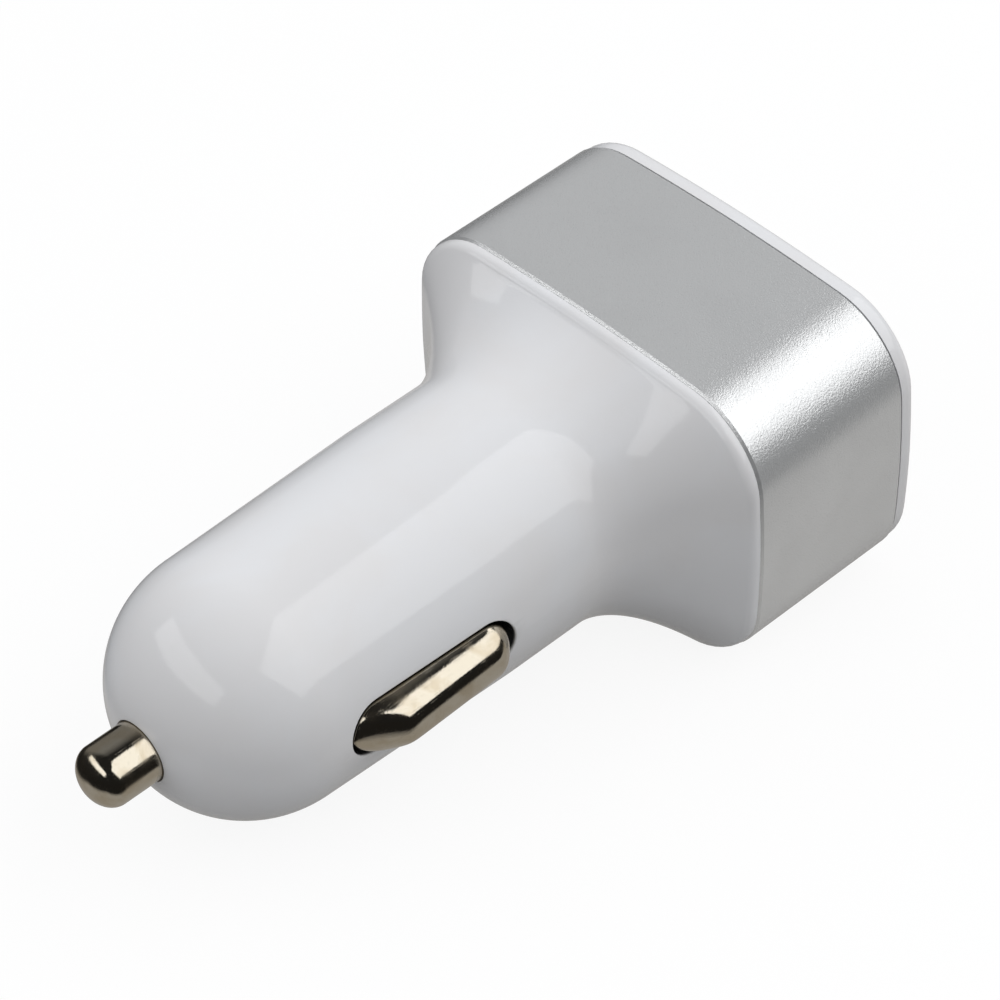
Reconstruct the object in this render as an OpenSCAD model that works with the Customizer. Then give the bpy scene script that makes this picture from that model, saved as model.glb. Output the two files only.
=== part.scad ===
// Car charger plug with three ports.
// The plug's axis is X: the tip points to -X, the port face to +X. Z is up.
// The origin lies on the axis at the head end of the round seat, where the neck begins to flare.

/* [Barrel] */
// Radius of the round seat that centres the plug in a lighter socket
seat_r = 10.4; // [10.3:0.05:10.45]
// Length of the round seat
seat_len = 7; // [6:0.5:7.5]
// Barrel radius where the domed nose starts
nose_r = 9.97; // [9.8:0.01:10.2]
// Distance from the origin to the end of the dome
barrel_len = 34.2; // [33.5:0.1:35]
// Length of the domed nose
dome_len = 10.2; // [9.8:0.1:10.6]
// Radius of the bore through the barrel
bore_r = 8.5; // [8.4:0.05:8.6]

/* [Head] */
// Width of the head along Y
head_w = 35.1; // [34.5:0.1:36]
// Height of the head along Z
head_h = 25.3; // [25:0.1:26]
// Corner radius of the head
head_corner_r = 5.9; // [5.5:0.1:6.5]
// How far the long sides bow out between the corners
long_bow = 0.75; // [0.5:0.05:0.9]
// How far the short sides bow out between the corners
short_bow = 0.75; // [0.5:0.05:0.9]
// Length of the flared neck, from the seat to the trim band
neck_len = 9.4; // [9:0.1:10]
// Radius of the rim where the neck meets the trim band
rim_r = 0.95; // [0.7:0.05:1.2]
// Length of the trim band
band_len = 14.8; // [14.5:0.1:15.5]
// Wall of the trim band
band_wall = 0.7; // [0.5:0.05:0.75]
// Thickness of the face plate's exposed rim
face_rim = 1.6; // [1:0.05:1.9]

/* [Centre pin] */
// Radius of the centre pin
pin_r = 2.4; // [2.3:0.05:2.5]
// How far the pin stands out in front of the dome's end
pin_out = 4.55; // [4.2:0.05:4.8]
// Length of the pin's rounded tip
pin_dome = 1.8; // [1.5:0.1:2]
// Travel of the pin into the barrel
pin_travel = 3.2; // [2.5:0.1:3.2]

/* [Side contacts] */
// Distance from the origin to the slots' head end
slot_back = 8; // [7.8:0.1:8.2]
// Length of the slots
slot_len = 15.1; // [14.9:0.1:15.2]
// Width of the slots
slot_w = 5; // [4.9:0.05:5.1]
// Highest point of a contact, measured from the axis
crest_r = 12.1; // [11.8:0.05:12.3]
// Travel of a contact into the barrel
contact_travel = 1.8; // [1.4:0.1:1.8]

/* [Ports] */
// Distance between the ports' centres
port_pitch = 9.4; // [9.2:0.1:9.8]
// Outer height of a port shell
shell_h = 13.1; // [13:0.05:13.2]
// Outer width of a port shell
shell_w = 5.7; // [5.65:0.05:5.75]

/* [Hidden] */
$fn = 64;

eps = 0.02;
slip = 0.05;

// Outline of the head: points on each corner arc, long side and short side
corner_steps = 9;
long_steps = 13;
short_steps = 8;

// Stations along the axis
dome_back = dome_len - barrel_len;
plate_front = neck_len + band_len;
face_x = plate_front + face_rim;
rim_inset = 0.12;
rim_flat = 0.15;
rim_start = 35;
edge_chamfer = 0.18;
flare_start = 0.3;
root_overlap = 0.4;

// Walls of the head: the band, then the housing's sleeve, then the face plate's skirt
sleeve_inset = band_wall + slip;
cavity_inset = sleeve_inset + 1.6;
sleeve_end = plate_front - 0.6;
skirt_inset = cavity_inset + slip;
skirt_wall = 1.2;
skirt_len = 4;
plate_back_thickness = 1.4;
neck_wall_shift = 1;
cavity_front = neck_len + neck_wall_shift;

// Spring chamber behind the nose
nose_wall = 1.5;
chamber_front = 2.6 - barrel_len;
chamber_r = 3.7;
chamber_wall = 1.2;
pin_hole_r = pin_r + 0.07;
pin_flange_r = 3.4;
pin_flange_len = 1.2;
pin_flange_front = chamber_front + slip;
pin_spigot_r = 1.2;
pin_spigot_len = 1.6;
pin_flange_back = pin_flange_front + pin_flange_len;
pin_spring_pressed = 3.15;
terminal_thickness = 0.4;
terminal_front = pin_flange_back + pin_travel + pin_spring_pressed;
chamber_back = terminal_front + terminal_thickness / 2;

// Side contacts
contact_gap = 0.14;
contact_wall = 0.5;
contact_w = slot_w / 2 - contact_gap;
contact_front = contact_gap - slot_back - slot_len;
contact_back = -slot_back - contact_gap;
contact_base_r = 8;
lip_outer_r = bore_r - 0.1;
lip_inner_r = lip_outer_r - 0.55;
lip_w = 6.4;
lip_reach = 0.9;
ramp_foot_r = 9.8;
ramp_slope = 0.66;
crest_fall = 0.035;
crest_level_from = 4.5;
crest_blend = 0.16;
back_round = 2.7;
arch_crown = 0.62;
arch_flank = 0.8;
contact_mid = -15.5;
contact_spring_drop = 0.45;
contact_spring_pressed = 3.65;
side_terminal_r = crest_r - contact_wall - contact_spring_drop - contact_travel - contact_spring_pressed;
side_terminal_len = 7;
side_terminal_w = 3.2;

// Boards
board_thickness = 1.6;
board_half_w = side_terminal_r - 0.35;
board_front = terminal_front + terminal_thickness;
board_back = cavity_front - 0.1;
board_wide_front = 2.4;
board_wide_half = 8.2;
rail_front = -6;
rail_back = -0.5;
rail_thickness = 1;
port_board_back = cavity_front + board_thickness;

// Ports
port_count = 3;
shell_wall = 0.3;
shell_corner_r = 0.5;
shell_front = face_x - 0.3;
tongue_recess = 2.4;
tongue_w = 11.1;
tongue_thickness = 1.84;
tongue_offset = -0.55;
base_depth = 4;
aperture_gap = 0.1;
aperture_chamfer = 0.4;
pad_w = 1;
pad_pitches = [-3.5, -1, 1, 3.5];
light_z = 7.85;
light_r = 0.9;
lamp_size = [1.2, 1.6, 1.2];

// One corner of the head's outline, from angle a0 over a quarter turn
function corner_arc(cy, cz, r, a0) =
    [for (i = [0:corner_steps]) let (a = a0 + 90 * i / corner_steps) [cy + r * cos(a), cz + r * sin(a)]];

// Points between two corners, ends left out
function between(p, q, steps) =
    [for (i = [1:steps - 1]) p + (q - p) * i / steps];

// Rounded rectangle with straight sides, counter-clockwise
function straight_outline(a, b, r) =
    let (c1 = corner_arc(a - r, b - r, r, 0))
    let (c2 = corner_arc(r - a, b - r, r, 90))
    let (c3 = corner_arc(r - a, r - b, r, 180))
    let (c4 = corner_arc(a - r, r - b, r, 270))
    concat(
        c1, between(c1[corner_steps], c2[0], long_steps),
        c2, between(c2[corner_steps], c3[0], short_steps),
        c3, between(c3[corner_steps], c4[0], long_steps),
        c4, between(c4[corner_steps], c1[0], short_steps)
    );

// The head's outline in Y and Z, drawn in by an inset; its four sides bow outwards
function head_outline(inset) =
    let (a = head_w / 2 - inset)
    let (b = head_h / 2 - inset)
    [for (p = straight_outline(a, b, max(head_corner_r - inset, 0.6)))
        [p.x - sign(p.x) * short_bow * pow(p.y / b, 2), p.y - sign(p.y) * long_bow * pow(p.x / a, 2)]];

// A ring of points in space from an outline in Y and Z
function ring(x, outline) = [for (p = outline) [x, p.x, p.y]];

// The outline shrunk on rays onto a circle about the axis: s = 0 is the circle, s = 1 the outline
function neck_ring(x, circle_r, outline, s) =
    [for (p = outline) let (q = p * (circle_r + (norm(p) - circle_r) * s) / norm(p)) [x, q.x, q.y]];

// A solid through a row of rings that all have the same number of points.
// Seen from its last ring, each ring runs counter-clockwise.
module loft(rings) {
    n = len(rings[0]);
    m = len(rings);
    points = [for (r = rings) for (p = r) p];
    sides = [for (j = [0:m - 2]) for (i = [0:n - 1])
        [j * n + i, (j + 1) * n + i, (j + 1) * n + (i + 1) % n, j * n + (i + 1) % n]];
    first = [for (i = [0:n - 1]) i];
    last = [for (i = [n - 1:-1:0]) (m - 1) * n + i];
    polyhedron(points, concat([first, last], sides), convexity = 6);
}

// A hollow solid through a closed round of rings, out along its outside and back along its inside
module tube_loft(rings) {
    n = len(rings[0]);
    m = len(rings);
    points = [for (r = rings) for (p = r) p];
    sides = [for (j = [0:m - 1]) for (i = [0:n - 1]) let (k = (j + 1) % m)
        [j * n + i, k * n + i, k * n + (i + 1) % n, j * n + (i + 1) % n]];
    polyhedron(points, sides, convexity = 6);
}

// A shape in Y and Z, drawn out along X from x0 to x1
module along_x(x0, x1) {
    translate([x0, 0, 0])
        rotate([90, 0, 90])
            linear_extrude(height = x1 - x0)
                children();
}

// A half section given as points of X and radius, turned about the X axis
module turned(points) {
    rotate([0, 90, 0])
        rotate_extrude()
            polygon([for (p = points) [p.y, p.x]]);
}

// Copies for the +Y side and for the -Y side
module at_side(side) {
    if (side < 0)
        mirror([0, 1, 0])
            children();
    else
        children();
}

// Round wire wound along Z from z = 0, with flat closed turns at both ends
module coil(coil_r, wire_r, length, turns) {
    sides = 6;
    per_turn = 12;
    steps = turns * per_turn;
    pitch_share = function (t) t < 1 ? 0 : t > turns - 1 ? 1 : (t - 1) / (turns - 2);
    close = 2.3 * wire_r;
    free = length - 2 * (wire_r + close);
    height = function (t) wire_r + close * min(t, 1) + free * pitch_share(t) + close * max(t - turns + 1, 0);
    loft([for (i = [0:steps]) let (t = i / per_turn) let (a = 360 * t)
        [for (k = [0:sides - 1]) let (b = -360 * k / sides) let (r = coil_r + wire_r * cos(b))
            [r * cos(a), r * sin(a), height(t) + wire_r * sin(b)]]]);
}

// Points along a dome, from the radius of its hole to its foot
function dome_points(hole_r, len, r, steps) =
    let (a0 = asin(hole_r / r))
    [for (i = [0:steps]) let (a = a0 + (90 - a0) * i / steps) [dome_back - len * cos(a), r * sin(a)]];

// Barrel wall with its nose and its inner spring chamber, as one turned section
module barrel_wall() {
    tube_r = chamber_r + chamber_wall;
    inner = dome_points(tube_r, dome_len - nose_wall, bore_r, 14);
    turned(concat(
        dome_points(pin_hole_r, dome_len, nose_r, 26),
        [[-seat_len, seat_r], [0, seat_r], [0, bore_r]],
        [for (i = [len(inner) - 1:-1:0]) inner[i]],
        [[chamber_back, tube_r], [chamber_back, chamber_r],
            [chamber_front, chamber_r], [chamber_front, pin_hole_r]]
    ));
}

// Neck and sleeve as one wall. Outside, the neck flares from the round seat to the head's outline,
// ends in a rounded rim and steps in to the sleeve under the trim band.
module neck_and_sleeve() {
    flare_steps = 11;
    rim_steps = 4;
    hollow_steps = 5;
    flare_end = neck_len - rim_flat - rim_r * cos(rim_start);
    flare_outline = head_outline(rim_inset + rim_r * (1 - sin(rim_start)));
    outer_r = seat_r - eps;
    inner_r = bore_r + eps;
    hollow_outline = head_outline(cavity_inset);
    tube_loft(concat(
        [neck_ring(-root_overlap, outer_r - slip, flare_outline, 0)],
        [for (i = [0:flare_steps]) let (k = i / flare_steps)
            neck_ring(flare_start + (flare_end - flare_start) * k, outer_r, flare_outline, k * k)],
        [for (i = [1:rim_steps]) let (a = rim_start + (90 - rim_start) * i / rim_steps)
            ring(neck_len - rim_flat - rim_r * cos(a), head_outline(rim_inset + rim_r * (1 - sin(a))))],
        [ring(neck_len, head_outline(rim_inset)), ring(neck_len, head_outline(sleeve_inset))],
        [ring(sleeve_end, head_outline(sleeve_inset)), ring(sleeve_end, hollow_outline)],
        [for (i = [hollow_steps:-1:0]) let (k = i / hollow_steps)
            neck_ring(neck_wall_shift + neck_len * k, inner_r, hollow_outline, k * k)],
        [neck_ring(-root_overlap, inner_r + slip, hollow_outline, 0)]
    ));
}

// Slot with round ends through the barrel wall on the +Y side
module contact_slot(w, front, back) {
    r = w / 2;
    cut_from = 6;
    translate([0, cut_from, 0])
        rotate([-90, 0, 0])
            linear_extrude(height = crest_r + 2 - cut_from) {
                translate([front + r, 0])
                    circle(r);
                translate([back - r, 0])
                    circle(r);
                translate([front + r, -r])
                    square([back - front - w, w]);
            }
}

// Rails on the barrel's inner wall that hold both edges of the main board
module board_rails() {
    root_r = bore_r + 0.4;
    grip = 0.5;
    height = board_thickness + 2 * rail_thickness;
    intersection() {
        along_x(rail_front, rail_back)
            difference() {
                square([2 * (root_r + 1), height], center = true);
                square([2 * (root_r + 2), board_thickness], center = true);
                square([2 * (board_half_w - grip), height + 1], center = true);
            }
        turned([[rail_front, 0], [rail_front, root_r], [rail_back, root_r], [rail_back, 0]]);
    }
}

module housing() {
    color("whitesmoke") {
        difference() {
            barrel_wall();
            for (side = [-1, 1])
                at_side(side)
                    contact_slot(slot_w, -slot_back - slot_len, -slot_back);
        }
        neck_and_sleeve();
        board_rails();
    }
}

module trim_band() {
    color("silver")
        tube_loft([
            ring(neck_len, head_outline(edge_chamfer)),
            ring(neck_len + edge_chamfer, head_outline(0)),
            ring(plate_front - edge_chamfer, head_outline(0)),
            ring(plate_front, head_outline(edge_chamfer)),
            ring(plate_front, head_outline(band_wall)),
            ring(neck_len, head_outline(band_wall))
        ]);
}

// Outline of a port's shell in Y and Z, grown by a margin
module port_outline(margin) {
    w = shell_w + 2 * margin;
    h = shell_h + 2 * margin;
    r = shell_corner_r + margin;
    for (sy = [-1, 1])
        for (sz = [-1, 1])
            translate([sy * (w / 2 - r), sz * (h / 2 - r)])
                circle(r, $fn = 32);
    square([w - 2 * r, h], center = true);
    square([w, h - 2 * r], center = true);
}

function port_y(i) = (i - (port_count + 1) / 2) * port_pitch;

// Exposed edge of the face plate, rounded towards the face
module face_edge() {
    edge_r = 0.65 * face_rim;
    edge_steps = 5;
    joint_inset = skirt_inset + skirt_wall / 2;
    tube_loft(concat(
        [ring(plate_front, head_outline(joint_inset)), ring(plate_front, head_outline(rim_inset))],
        [for (i = [0:edge_steps]) let (a = 90 * i / edge_steps)
            ring(face_x - eps - edge_r + edge_r * sin(a), head_outline(rim_inset + edge_r * (1 - cos(a))))],
        [ring(face_x - eps, head_outline(joint_inset))]
    ));
}

module face_plate() {
    color("whitesmoke")
        union() {
            face_edge();
            difference() {
                union() {
                    along_x(plate_front - plate_back_thickness, face_x)
                        polygon(head_outline(skirt_inset));
                    along_x(plate_front - skirt_len, plate_front - plate_back_thickness + 0.1)
                        difference() {
                            polygon(head_outline(skirt_inset));
                            polygon(head_outline(skirt_inset + skirt_wall));
                        }
                }
                for (i = [1:port_count])
                    translate([0, port_y(i), 0]) {
                        along_x(plate_front - skirt_len, face_x + 1)
                            port_outline(aperture_gap);
                        hull() {
                            along_x(face_x - aperture_chamfer - 0.3, face_x - aperture_chamfer)
                                port_outline(aperture_gap);
                            along_x(face_x + 0.1, face_x + 0.4)
                                port_outline(aperture_gap + aperture_chamfer + 0.1);
                        }
                    }
                translate([plate_front - skirt_len, 0, light_z])
                    rotate([0, 90, 0])
                        cylinder(r = light_r + slip, h = skirt_len + face_rim + 1);
            }
        }
}

// Clear rod from the lamp to the face, with a collar that stops it behind the face plate
module light_pipe() {
    collar_len = 0.8;
    collar_r = light_r + 0.2;
    pipe_back = port_board_back + lamp_size.x + 0.1;
    color("lightcyan")
        translate([pipe_back, 0, light_z])
            rotate([0, 90, 0]) {
                cylinder(r = light_r, h = face_x - pipe_back);
                translate([0, 0, plate_front - plate_back_thickness - collar_len - pipe_back])
                    cylinder(r = collar_r, h = collar_len);
            }
}

// Pin with a rounded tip, a flange that keeps it in the barrel and a spigot for its spring
module centre_pin() {
    tip_x = -barrel_len - pin_out;
    spigot_back = pin_flange_back + pin_spigot_len;
    steps = 12;
    color("tan")
        turned(concat(
            [[spigot_back, 0]],
            [for (i = [0:steps]) let (a = 90 * i / steps)
                [tip_x + pin_dome * (1 - cos(a)), pin_r * sin(a)]],
            [[pin_flange_front, pin_r], [pin_flange_front, pin_flange_r], [pin_flange_back, pin_flange_r],
                [pin_flange_back, pin_spigot_r], [spigot_back, pin_spigot_r]]
        ));
}

module pin_spring() {
    coil_r = 2.1;
    wire_r = 0.25;
    turns = 5;
    color("gray")
        translate([pin_flange_back, 0, 0])
            rotate([0, 90, 0])
                coil(coil_r, wire_r, terminal_front - pin_flange_back, turns);
}

// Brass disc that closes the spring chamber and meets the front edge of the main board
module positive_terminal() {
    color("gold")
        turned([[terminal_front, 0], [terminal_front, chamber_r - slip],
            [board_front, chamber_r - slip], [board_front, 0]]);
}

// Height of a contact's crest above the axis: a ramp at the front, a nearly level top, a rounded back
function crest(x) =
    let (ramp = ramp_foot_r + ramp_slope * (x - contact_front))
    let (top = crest_r - crest_fall * max(x + slot_back + slot_len - crest_level_from, 0))
    let (low = -crest_blend * ln(exp(-ramp / crest_blend) + exp(-top / crest_blend)))
    let (t = max(0, (x - contact_back + back_round) / back_round))
    contact_base_r + (low - contact_base_r) * sqrt(max(0, 1 - t * t));

// Half width of a contact at a station: an outline with round ends
function contact_half_w(x) =
    let (from_end = min(x - contact_front, contact_back - x))
    contact_w * sqrt(max(0, 1 - pow(max(0, 1 - from_end / contact_w), 2)));

// Cross-section of a contact as points in Y and Z: a rounded arch that stands on its base
function arch(x, inset, steps) =
    let (half_w = max(contact_half_w(x) - inset, 0.05))
    let (rise = max(crest(x) - inset - contact_base_r, 0.05))
    [for (i = [0:steps]) let (a = 180 * i / steps) let (side = -sign(cos(a)))
        [x, contact_base_r + rise * pow(sin(a), arch_crown), side * half_w * pow(abs(cos(a)), arch_flank)]];

// Stations along a contact, close together at its round ends
function contact_stations(front, back, ends, middle) =
    concat(
        [for (i = [0:ends]) front + contact_w * (1 - cos(90 * i / ends))],
        [for (i = [1:middle - 1]) front + contact_w + (back - front - 2 * contact_w) * i / middle],
        [for (i = [ends:-1:0]) back - contact_w * (1 - cos(90 * i / ends))]
    );

module contact_body(inset, ends, middle, steps) {
    stations = contact_stations(contact_front + inset + eps, contact_back - inset - eps, ends, middle);
    loft([for (x = stations) arch(x, inset, steps)]);
}

// Stamped contact shell with the lip that keeps it behind the barrel wall
module side_contact(side) {
    lip_front = contact_front - lip_reach;
    lip_back = contact_back + lip_reach;
    window_w = 2 * (contact_w - contact_wall);
    window_land = 1;
    color("tan")
        at_side(side) {
            difference() {
                contact_body(0, 6, 14, 18);
                contact_body(contact_wall, 4, 8, 12);
            }
            intersection() {
                turned([[lip_front, lip_inner_r], [lip_front, lip_outer_r],
                    [lip_back, lip_outer_r], [lip_back, lip_inner_r]]);
                difference() {
                    translate([lip_front - 1, lip_inner_r / 2, -lip_w / 2])
                        cube([lip_back - lip_front + 2, lip_outer_r, lip_w]);
                    contact_slot(window_w, contact_front + window_land, contact_back - window_land);
                }
            }
        }
}

module left_contact() {
    side_contact(1);
}

module right_contact() {
    side_contact(-1);
}

// Spring between a side terminal and the inside of its contact
module contact_spring(side) {
    coil_r = 1;
    wire_r = 0.2;
    turns = 6;
    seat = crest(contact_mid) - contact_wall - contact_spring_drop;
    color("gray")
        at_side(side)
            translate([contact_mid, side_terminal_r, 0])
                rotate([-90, 0, 0])
                    coil(coil_r, wire_r, seat - side_terminal_r, turns);
}

module left_contact_spring() {
    contact_spring(1);
}

module right_contact_spring() {
    contact_spring(-1);
}

// Brass plate on the main board's edge that carries a contact spring
module side_terminal(side) {
    color("gold")
        at_side(side)
            translate([contact_mid - side_terminal_len / 2, board_half_w, -side_terminal_w / 2])
                cube([side_terminal_len, side_terminal_r - board_half_w, side_terminal_w]);
}

module left_terminal() {
    side_terminal(1);
}

module right_terminal() {
    side_terminal(-1);
}

module main_board() {
    color("darkgreen")
        translate([0, 0, -board_thickness / 2])
            linear_extrude(height = board_thickness)
                union() {
                    translate([board_front, -board_half_w])
                        square([board_back - board_front, 2 * board_half_w]);
                    translate([board_wide_front, -board_wide_half])
                        square([board_back - board_wide_front, 2 * board_wide_half]);
                }
}

// Board across the head that carries the ports
module port_board() {
    color("darkgreen")
        along_x(cavity_front, port_board_back)
            polygon(head_outline(cavity_inset + slip));
}

// Row of angled pins that joins the two boards
module board_header() {
    pins = 4;
    pin_pitch = 2.54;
    pin_w = 0.64;
    pin_reach = 2;
    body = [2.7, pins * pin_pitch, 2.5];
    body_front = cavity_front - body.x;
    top = board_thickness / 2;
    color("black")
        translate([body_front, -body.y / 2, top])
            cube(body);
    color("gold")
        for (i = [0:pins - 1])
            translate([body_front - pin_reach, (i - (pins - 1) / 2) * pin_pitch - pin_w / 2, top])
                cube([pin_reach + body.x / 4, pin_w, pin_w]);
}

inductor_x = -14;
inductor_r = 4.2;
inductor_h = 5;
inductor_flange = 1;
inductor_post_r = 1.8;

// Bobbin-shaped core of the inductor
module inductor_core() {
    color("dimgray")
        translate([inductor_x, 0, board_thickness / 2]) {
            cylinder(r = inductor_r, h = inductor_flange);
            cylinder(r = inductor_post_r, h = inductor_h);
            translate([0, 0, inductor_h - inductor_flange])
                cylinder(r = inductor_r, h = inductor_flange);
        }
}

module inductor_winding() {
    turns = 6;
    height = inductor_h - 2 * inductor_flange;
    wire_r = height / turns / 2;
    outer_r = inductor_r - 2 * wire_r;
    color("peru")
        translate([inductor_x, 0, board_thickness / 2 + inductor_flange])
            rotate_extrude()
                union() {
                    translate([inductor_post_r, 0])
                        square([outer_r - inductor_post_r, height]);
                    for (i = [0:turns - 1])
                        translate([outer_r, wire_r * (2 * i + 1)])
                            circle(wire_r, $fn = 24);
                }
}

// Aluminium can capacitor that lies along X under the board, with its crimp groove and its two leads
module can_capacitor(front, length, r) {
    foot_chamfer = 0.4;
    rim_chamfer = 0.3;
    groove = 0.35;
    groove_at = length - 1.6;
    lead_w = 0.6;
    lead_y = 1.25;
    lead_out = 0.8;
    lead_root = 0.1;
    translate([front, 0, -board_thickness / 2 - r]) {
        turned([[0, 0], [0, r - foot_chamfer], [foot_chamfer, r],
            [groove_at - groove, r], [groove_at, r - groove], [groove_at + groove, r],
            [length - rim_chamfer, r], [length, r - rim_chamfer], [length, 0]]);
        for (side = [-1, 1])
            translate([length, side * lead_y - lead_w / 2, -lead_w / 2]) {
                translate([-lead_root, 0, 0])
                    cube([lead_root + lead_out, lead_w, lead_w]);
                translate([lead_out - lead_w, 0, 0])
                    cube([lead_w, lead_w, r + lead_w / 2]);
            }
    }
}

module input_capacitor() {
    color("royalblue")
        can_capacitor(-20.5, 11, 3.6);
}

module output_capacitor() {
    color("royalblue")
        can_capacitor(-6.5, 9, 3.15);
}

module converter_chip() {
    chip_x = -5.5;
    body = [4.9, 3.9, 1.5];
    stand_off = 0.1;
    leads = 4;
    lead_pitch = 1.27;
    lead_y = 2.5;
    lead = [0.4, 1.3, 0.25];
    translate([chip_x, 0, board_thickness / 2]) {
        color("black")
            translate([-body.x / 2, -body.y / 2, stand_off])
                cube(body);
        color("silver")
            for (side = [-1, 1])
                for (i = [0:leads - 1])
                    translate([(i - (leads - 1) / 2) * lead_pitch, side * lead_y, lead.z / 2])
                        cube(lead, center = true);
    }
}

module diode() {
    diode_x = 1.5;
    body = [5.8, 5.8, 2.1];
    stand_off = 0.15;
    tab_x = 3.1;
    tab = [1.4, 3, 0.4];
    translate([diode_x, 0, board_thickness / 2]) {
        color("black")
            translate([-body.x / 2, -body.y / 2, stand_off])
                cube(body);
        color("silver")
            for (side = [-1, 1])
                translate([side * tab_x, 0, tab.z / 2])
                    cube(tab, center = true);
    }
}

// Fuse link with metal end caps
module fuse() {
    fuse_x = -21.3;
    body = [2.5, 5.2, 2.3];
    cap = [2.7, 1.5, 2.5];
    cap_y = 2.65;
    translate([fuse_x, 0, board_thickness / 2 + cap.z / 2]) {
        color("ivory")
            cube(body, center = true);
        color("silver")
            for (side = [-1, 1])
                translate([0, side * cap_y, 0])
                    cube(cap, center = true);
    }
}

// Small lamp on the port board, in line with the light pipe
module status_led() {
    color("lightyellow")
        translate([port_board_back, -lamp_size.y / 2, light_z - lamp_size.z / 2])
            cube(lamp_size);
}

// Folded steel shell of a port: open at the face, closed at the board
module usb_shell(i) {
    color("lightsteelblue")
        translate([0, port_y(i), 0])
            difference() {
                along_x(port_board_back, shell_front)
                    port_outline(0);
                along_x(port_board_back + shell_wall, shell_front + 1)
                    port_outline(-shell_wall);
            }
}

// Insulator of a port: a base at the back and the thin tongue that carries the pads
module usb_tongue(i) {
    base_front = port_board_back + shell_wall;
    color("white")
        translate([0, port_y(i), 0]) {
            along_x(base_front, base_front + base_depth)
                port_outline(-shell_wall - slip);
            translate([base_front, tongue_offset - tongue_thickness, -tongue_w / 2])
                cube([face_x - tongue_recess - base_front, tongue_thickness, tongue_w]);
        }
}

// Four pads on a port's tongue
module usb_contacts(i) {
    pad_thickness = 0.2;
    pad_recess = 0.9;
    base_front = port_board_back + shell_wall + base_depth;
    color("gold")
        translate([base_front, port_y(i) + tongue_offset, 0])
            for (z = pad_pitches)
                translate([0, 0, z - pad_w / 2])
                    cube([face_x - tongue_recess - pad_recess - base_front, pad_thickness, pad_w]);
}

module usb_shell_1() { usb_shell(1); }
module usb_shell_2() { usb_shell(2); }
module usb_shell_3() { usb_shell(3); }
module usb_tongue_1() { usb_tongue(1); }
module usb_tongue_2() { usb_tongue(2); }
module usb_tongue_3() { usb_tongue(3); }
module usb_contacts_1() { usb_contacts(1); }
module usb_contacts_2() { usb_contacts(2); }
module usb_contacts_3() { usb_contacts(3); }

housing();
trim_band();
face_plate();
light_pipe();
centre_pin();
pin_spring();
positive_terminal();
left_contact();
left_contact_spring();
left_terminal();
right_contact();
right_contact_spring();
right_terminal();
main_board();
port_board();
board_header();
inductor_core();
inductor_winding();
input_capacitor();
output_capacitor();
converter_chip();
diode();
fuse();
status_led();
usb_shell_1();
usb_shell_2();
usb_shell_3();
usb_tongue_1();
usb_tongue_2();
usb_tongue_3();
usb_contacts_1();
usb_contacts_2();
usb_contacts_3();
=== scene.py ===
"""Finished surfaces, studio and camera of a car charger plug.

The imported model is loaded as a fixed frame. One operator builds each piece, or each group of like pieces,
around that frame, and a last one sets up the studio. Lengths are in metres.
"""

import math

import bmesh
import bpy
from bpy.props import FloatProperty, FloatVectorProperty, PointerProperty
from bpy.types import Operator, Panel, PropertyGroup
from mathutils import Matrix, Vector


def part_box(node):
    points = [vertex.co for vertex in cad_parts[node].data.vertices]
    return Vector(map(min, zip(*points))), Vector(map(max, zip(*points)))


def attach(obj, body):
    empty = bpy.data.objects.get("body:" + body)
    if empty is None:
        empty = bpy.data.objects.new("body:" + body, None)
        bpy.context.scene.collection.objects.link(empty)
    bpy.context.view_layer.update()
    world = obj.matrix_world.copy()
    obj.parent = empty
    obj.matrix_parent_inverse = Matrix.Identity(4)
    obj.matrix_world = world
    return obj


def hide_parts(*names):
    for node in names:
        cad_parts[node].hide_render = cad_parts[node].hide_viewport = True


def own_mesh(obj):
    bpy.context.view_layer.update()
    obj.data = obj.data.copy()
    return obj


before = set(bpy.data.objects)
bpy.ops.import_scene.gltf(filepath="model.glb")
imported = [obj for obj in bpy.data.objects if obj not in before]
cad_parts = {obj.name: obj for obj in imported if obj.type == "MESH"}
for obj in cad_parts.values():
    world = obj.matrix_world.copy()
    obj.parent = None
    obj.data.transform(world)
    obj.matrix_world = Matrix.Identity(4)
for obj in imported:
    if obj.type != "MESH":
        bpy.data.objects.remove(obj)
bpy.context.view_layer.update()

bl_info = {
    "name": "Car charger plug",
    "version": (1, 0, 0),
    "blender": (4, 5, 0),
    "location": "3D View > Sidebar > Plug",
    "description": "Builds the finished surfaces of a charger plug around its packed model",
    "category": "Object",
}

MM = 0.001
MERGE = 0.002 * MM
SMOOTH_ANGLE = math.radians(32)
FLAT_ANGLE = math.radians(2)

BAND_LO, BAND_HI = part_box("trim_band")
FACE_LO, FACE_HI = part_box("face_plate")
PIN_LO, PIN_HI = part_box("centre_pin")
SHELL_LO, SHELL_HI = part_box("usb_shell_2")
PIPE_LO, PIPE_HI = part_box("light_pipe")

# Steps of the head's outline along a corner, a long side and a short side
CORNER_STEPS = 12
LONG_STEPS = 22
SHORT_STEPS = 14


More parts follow.
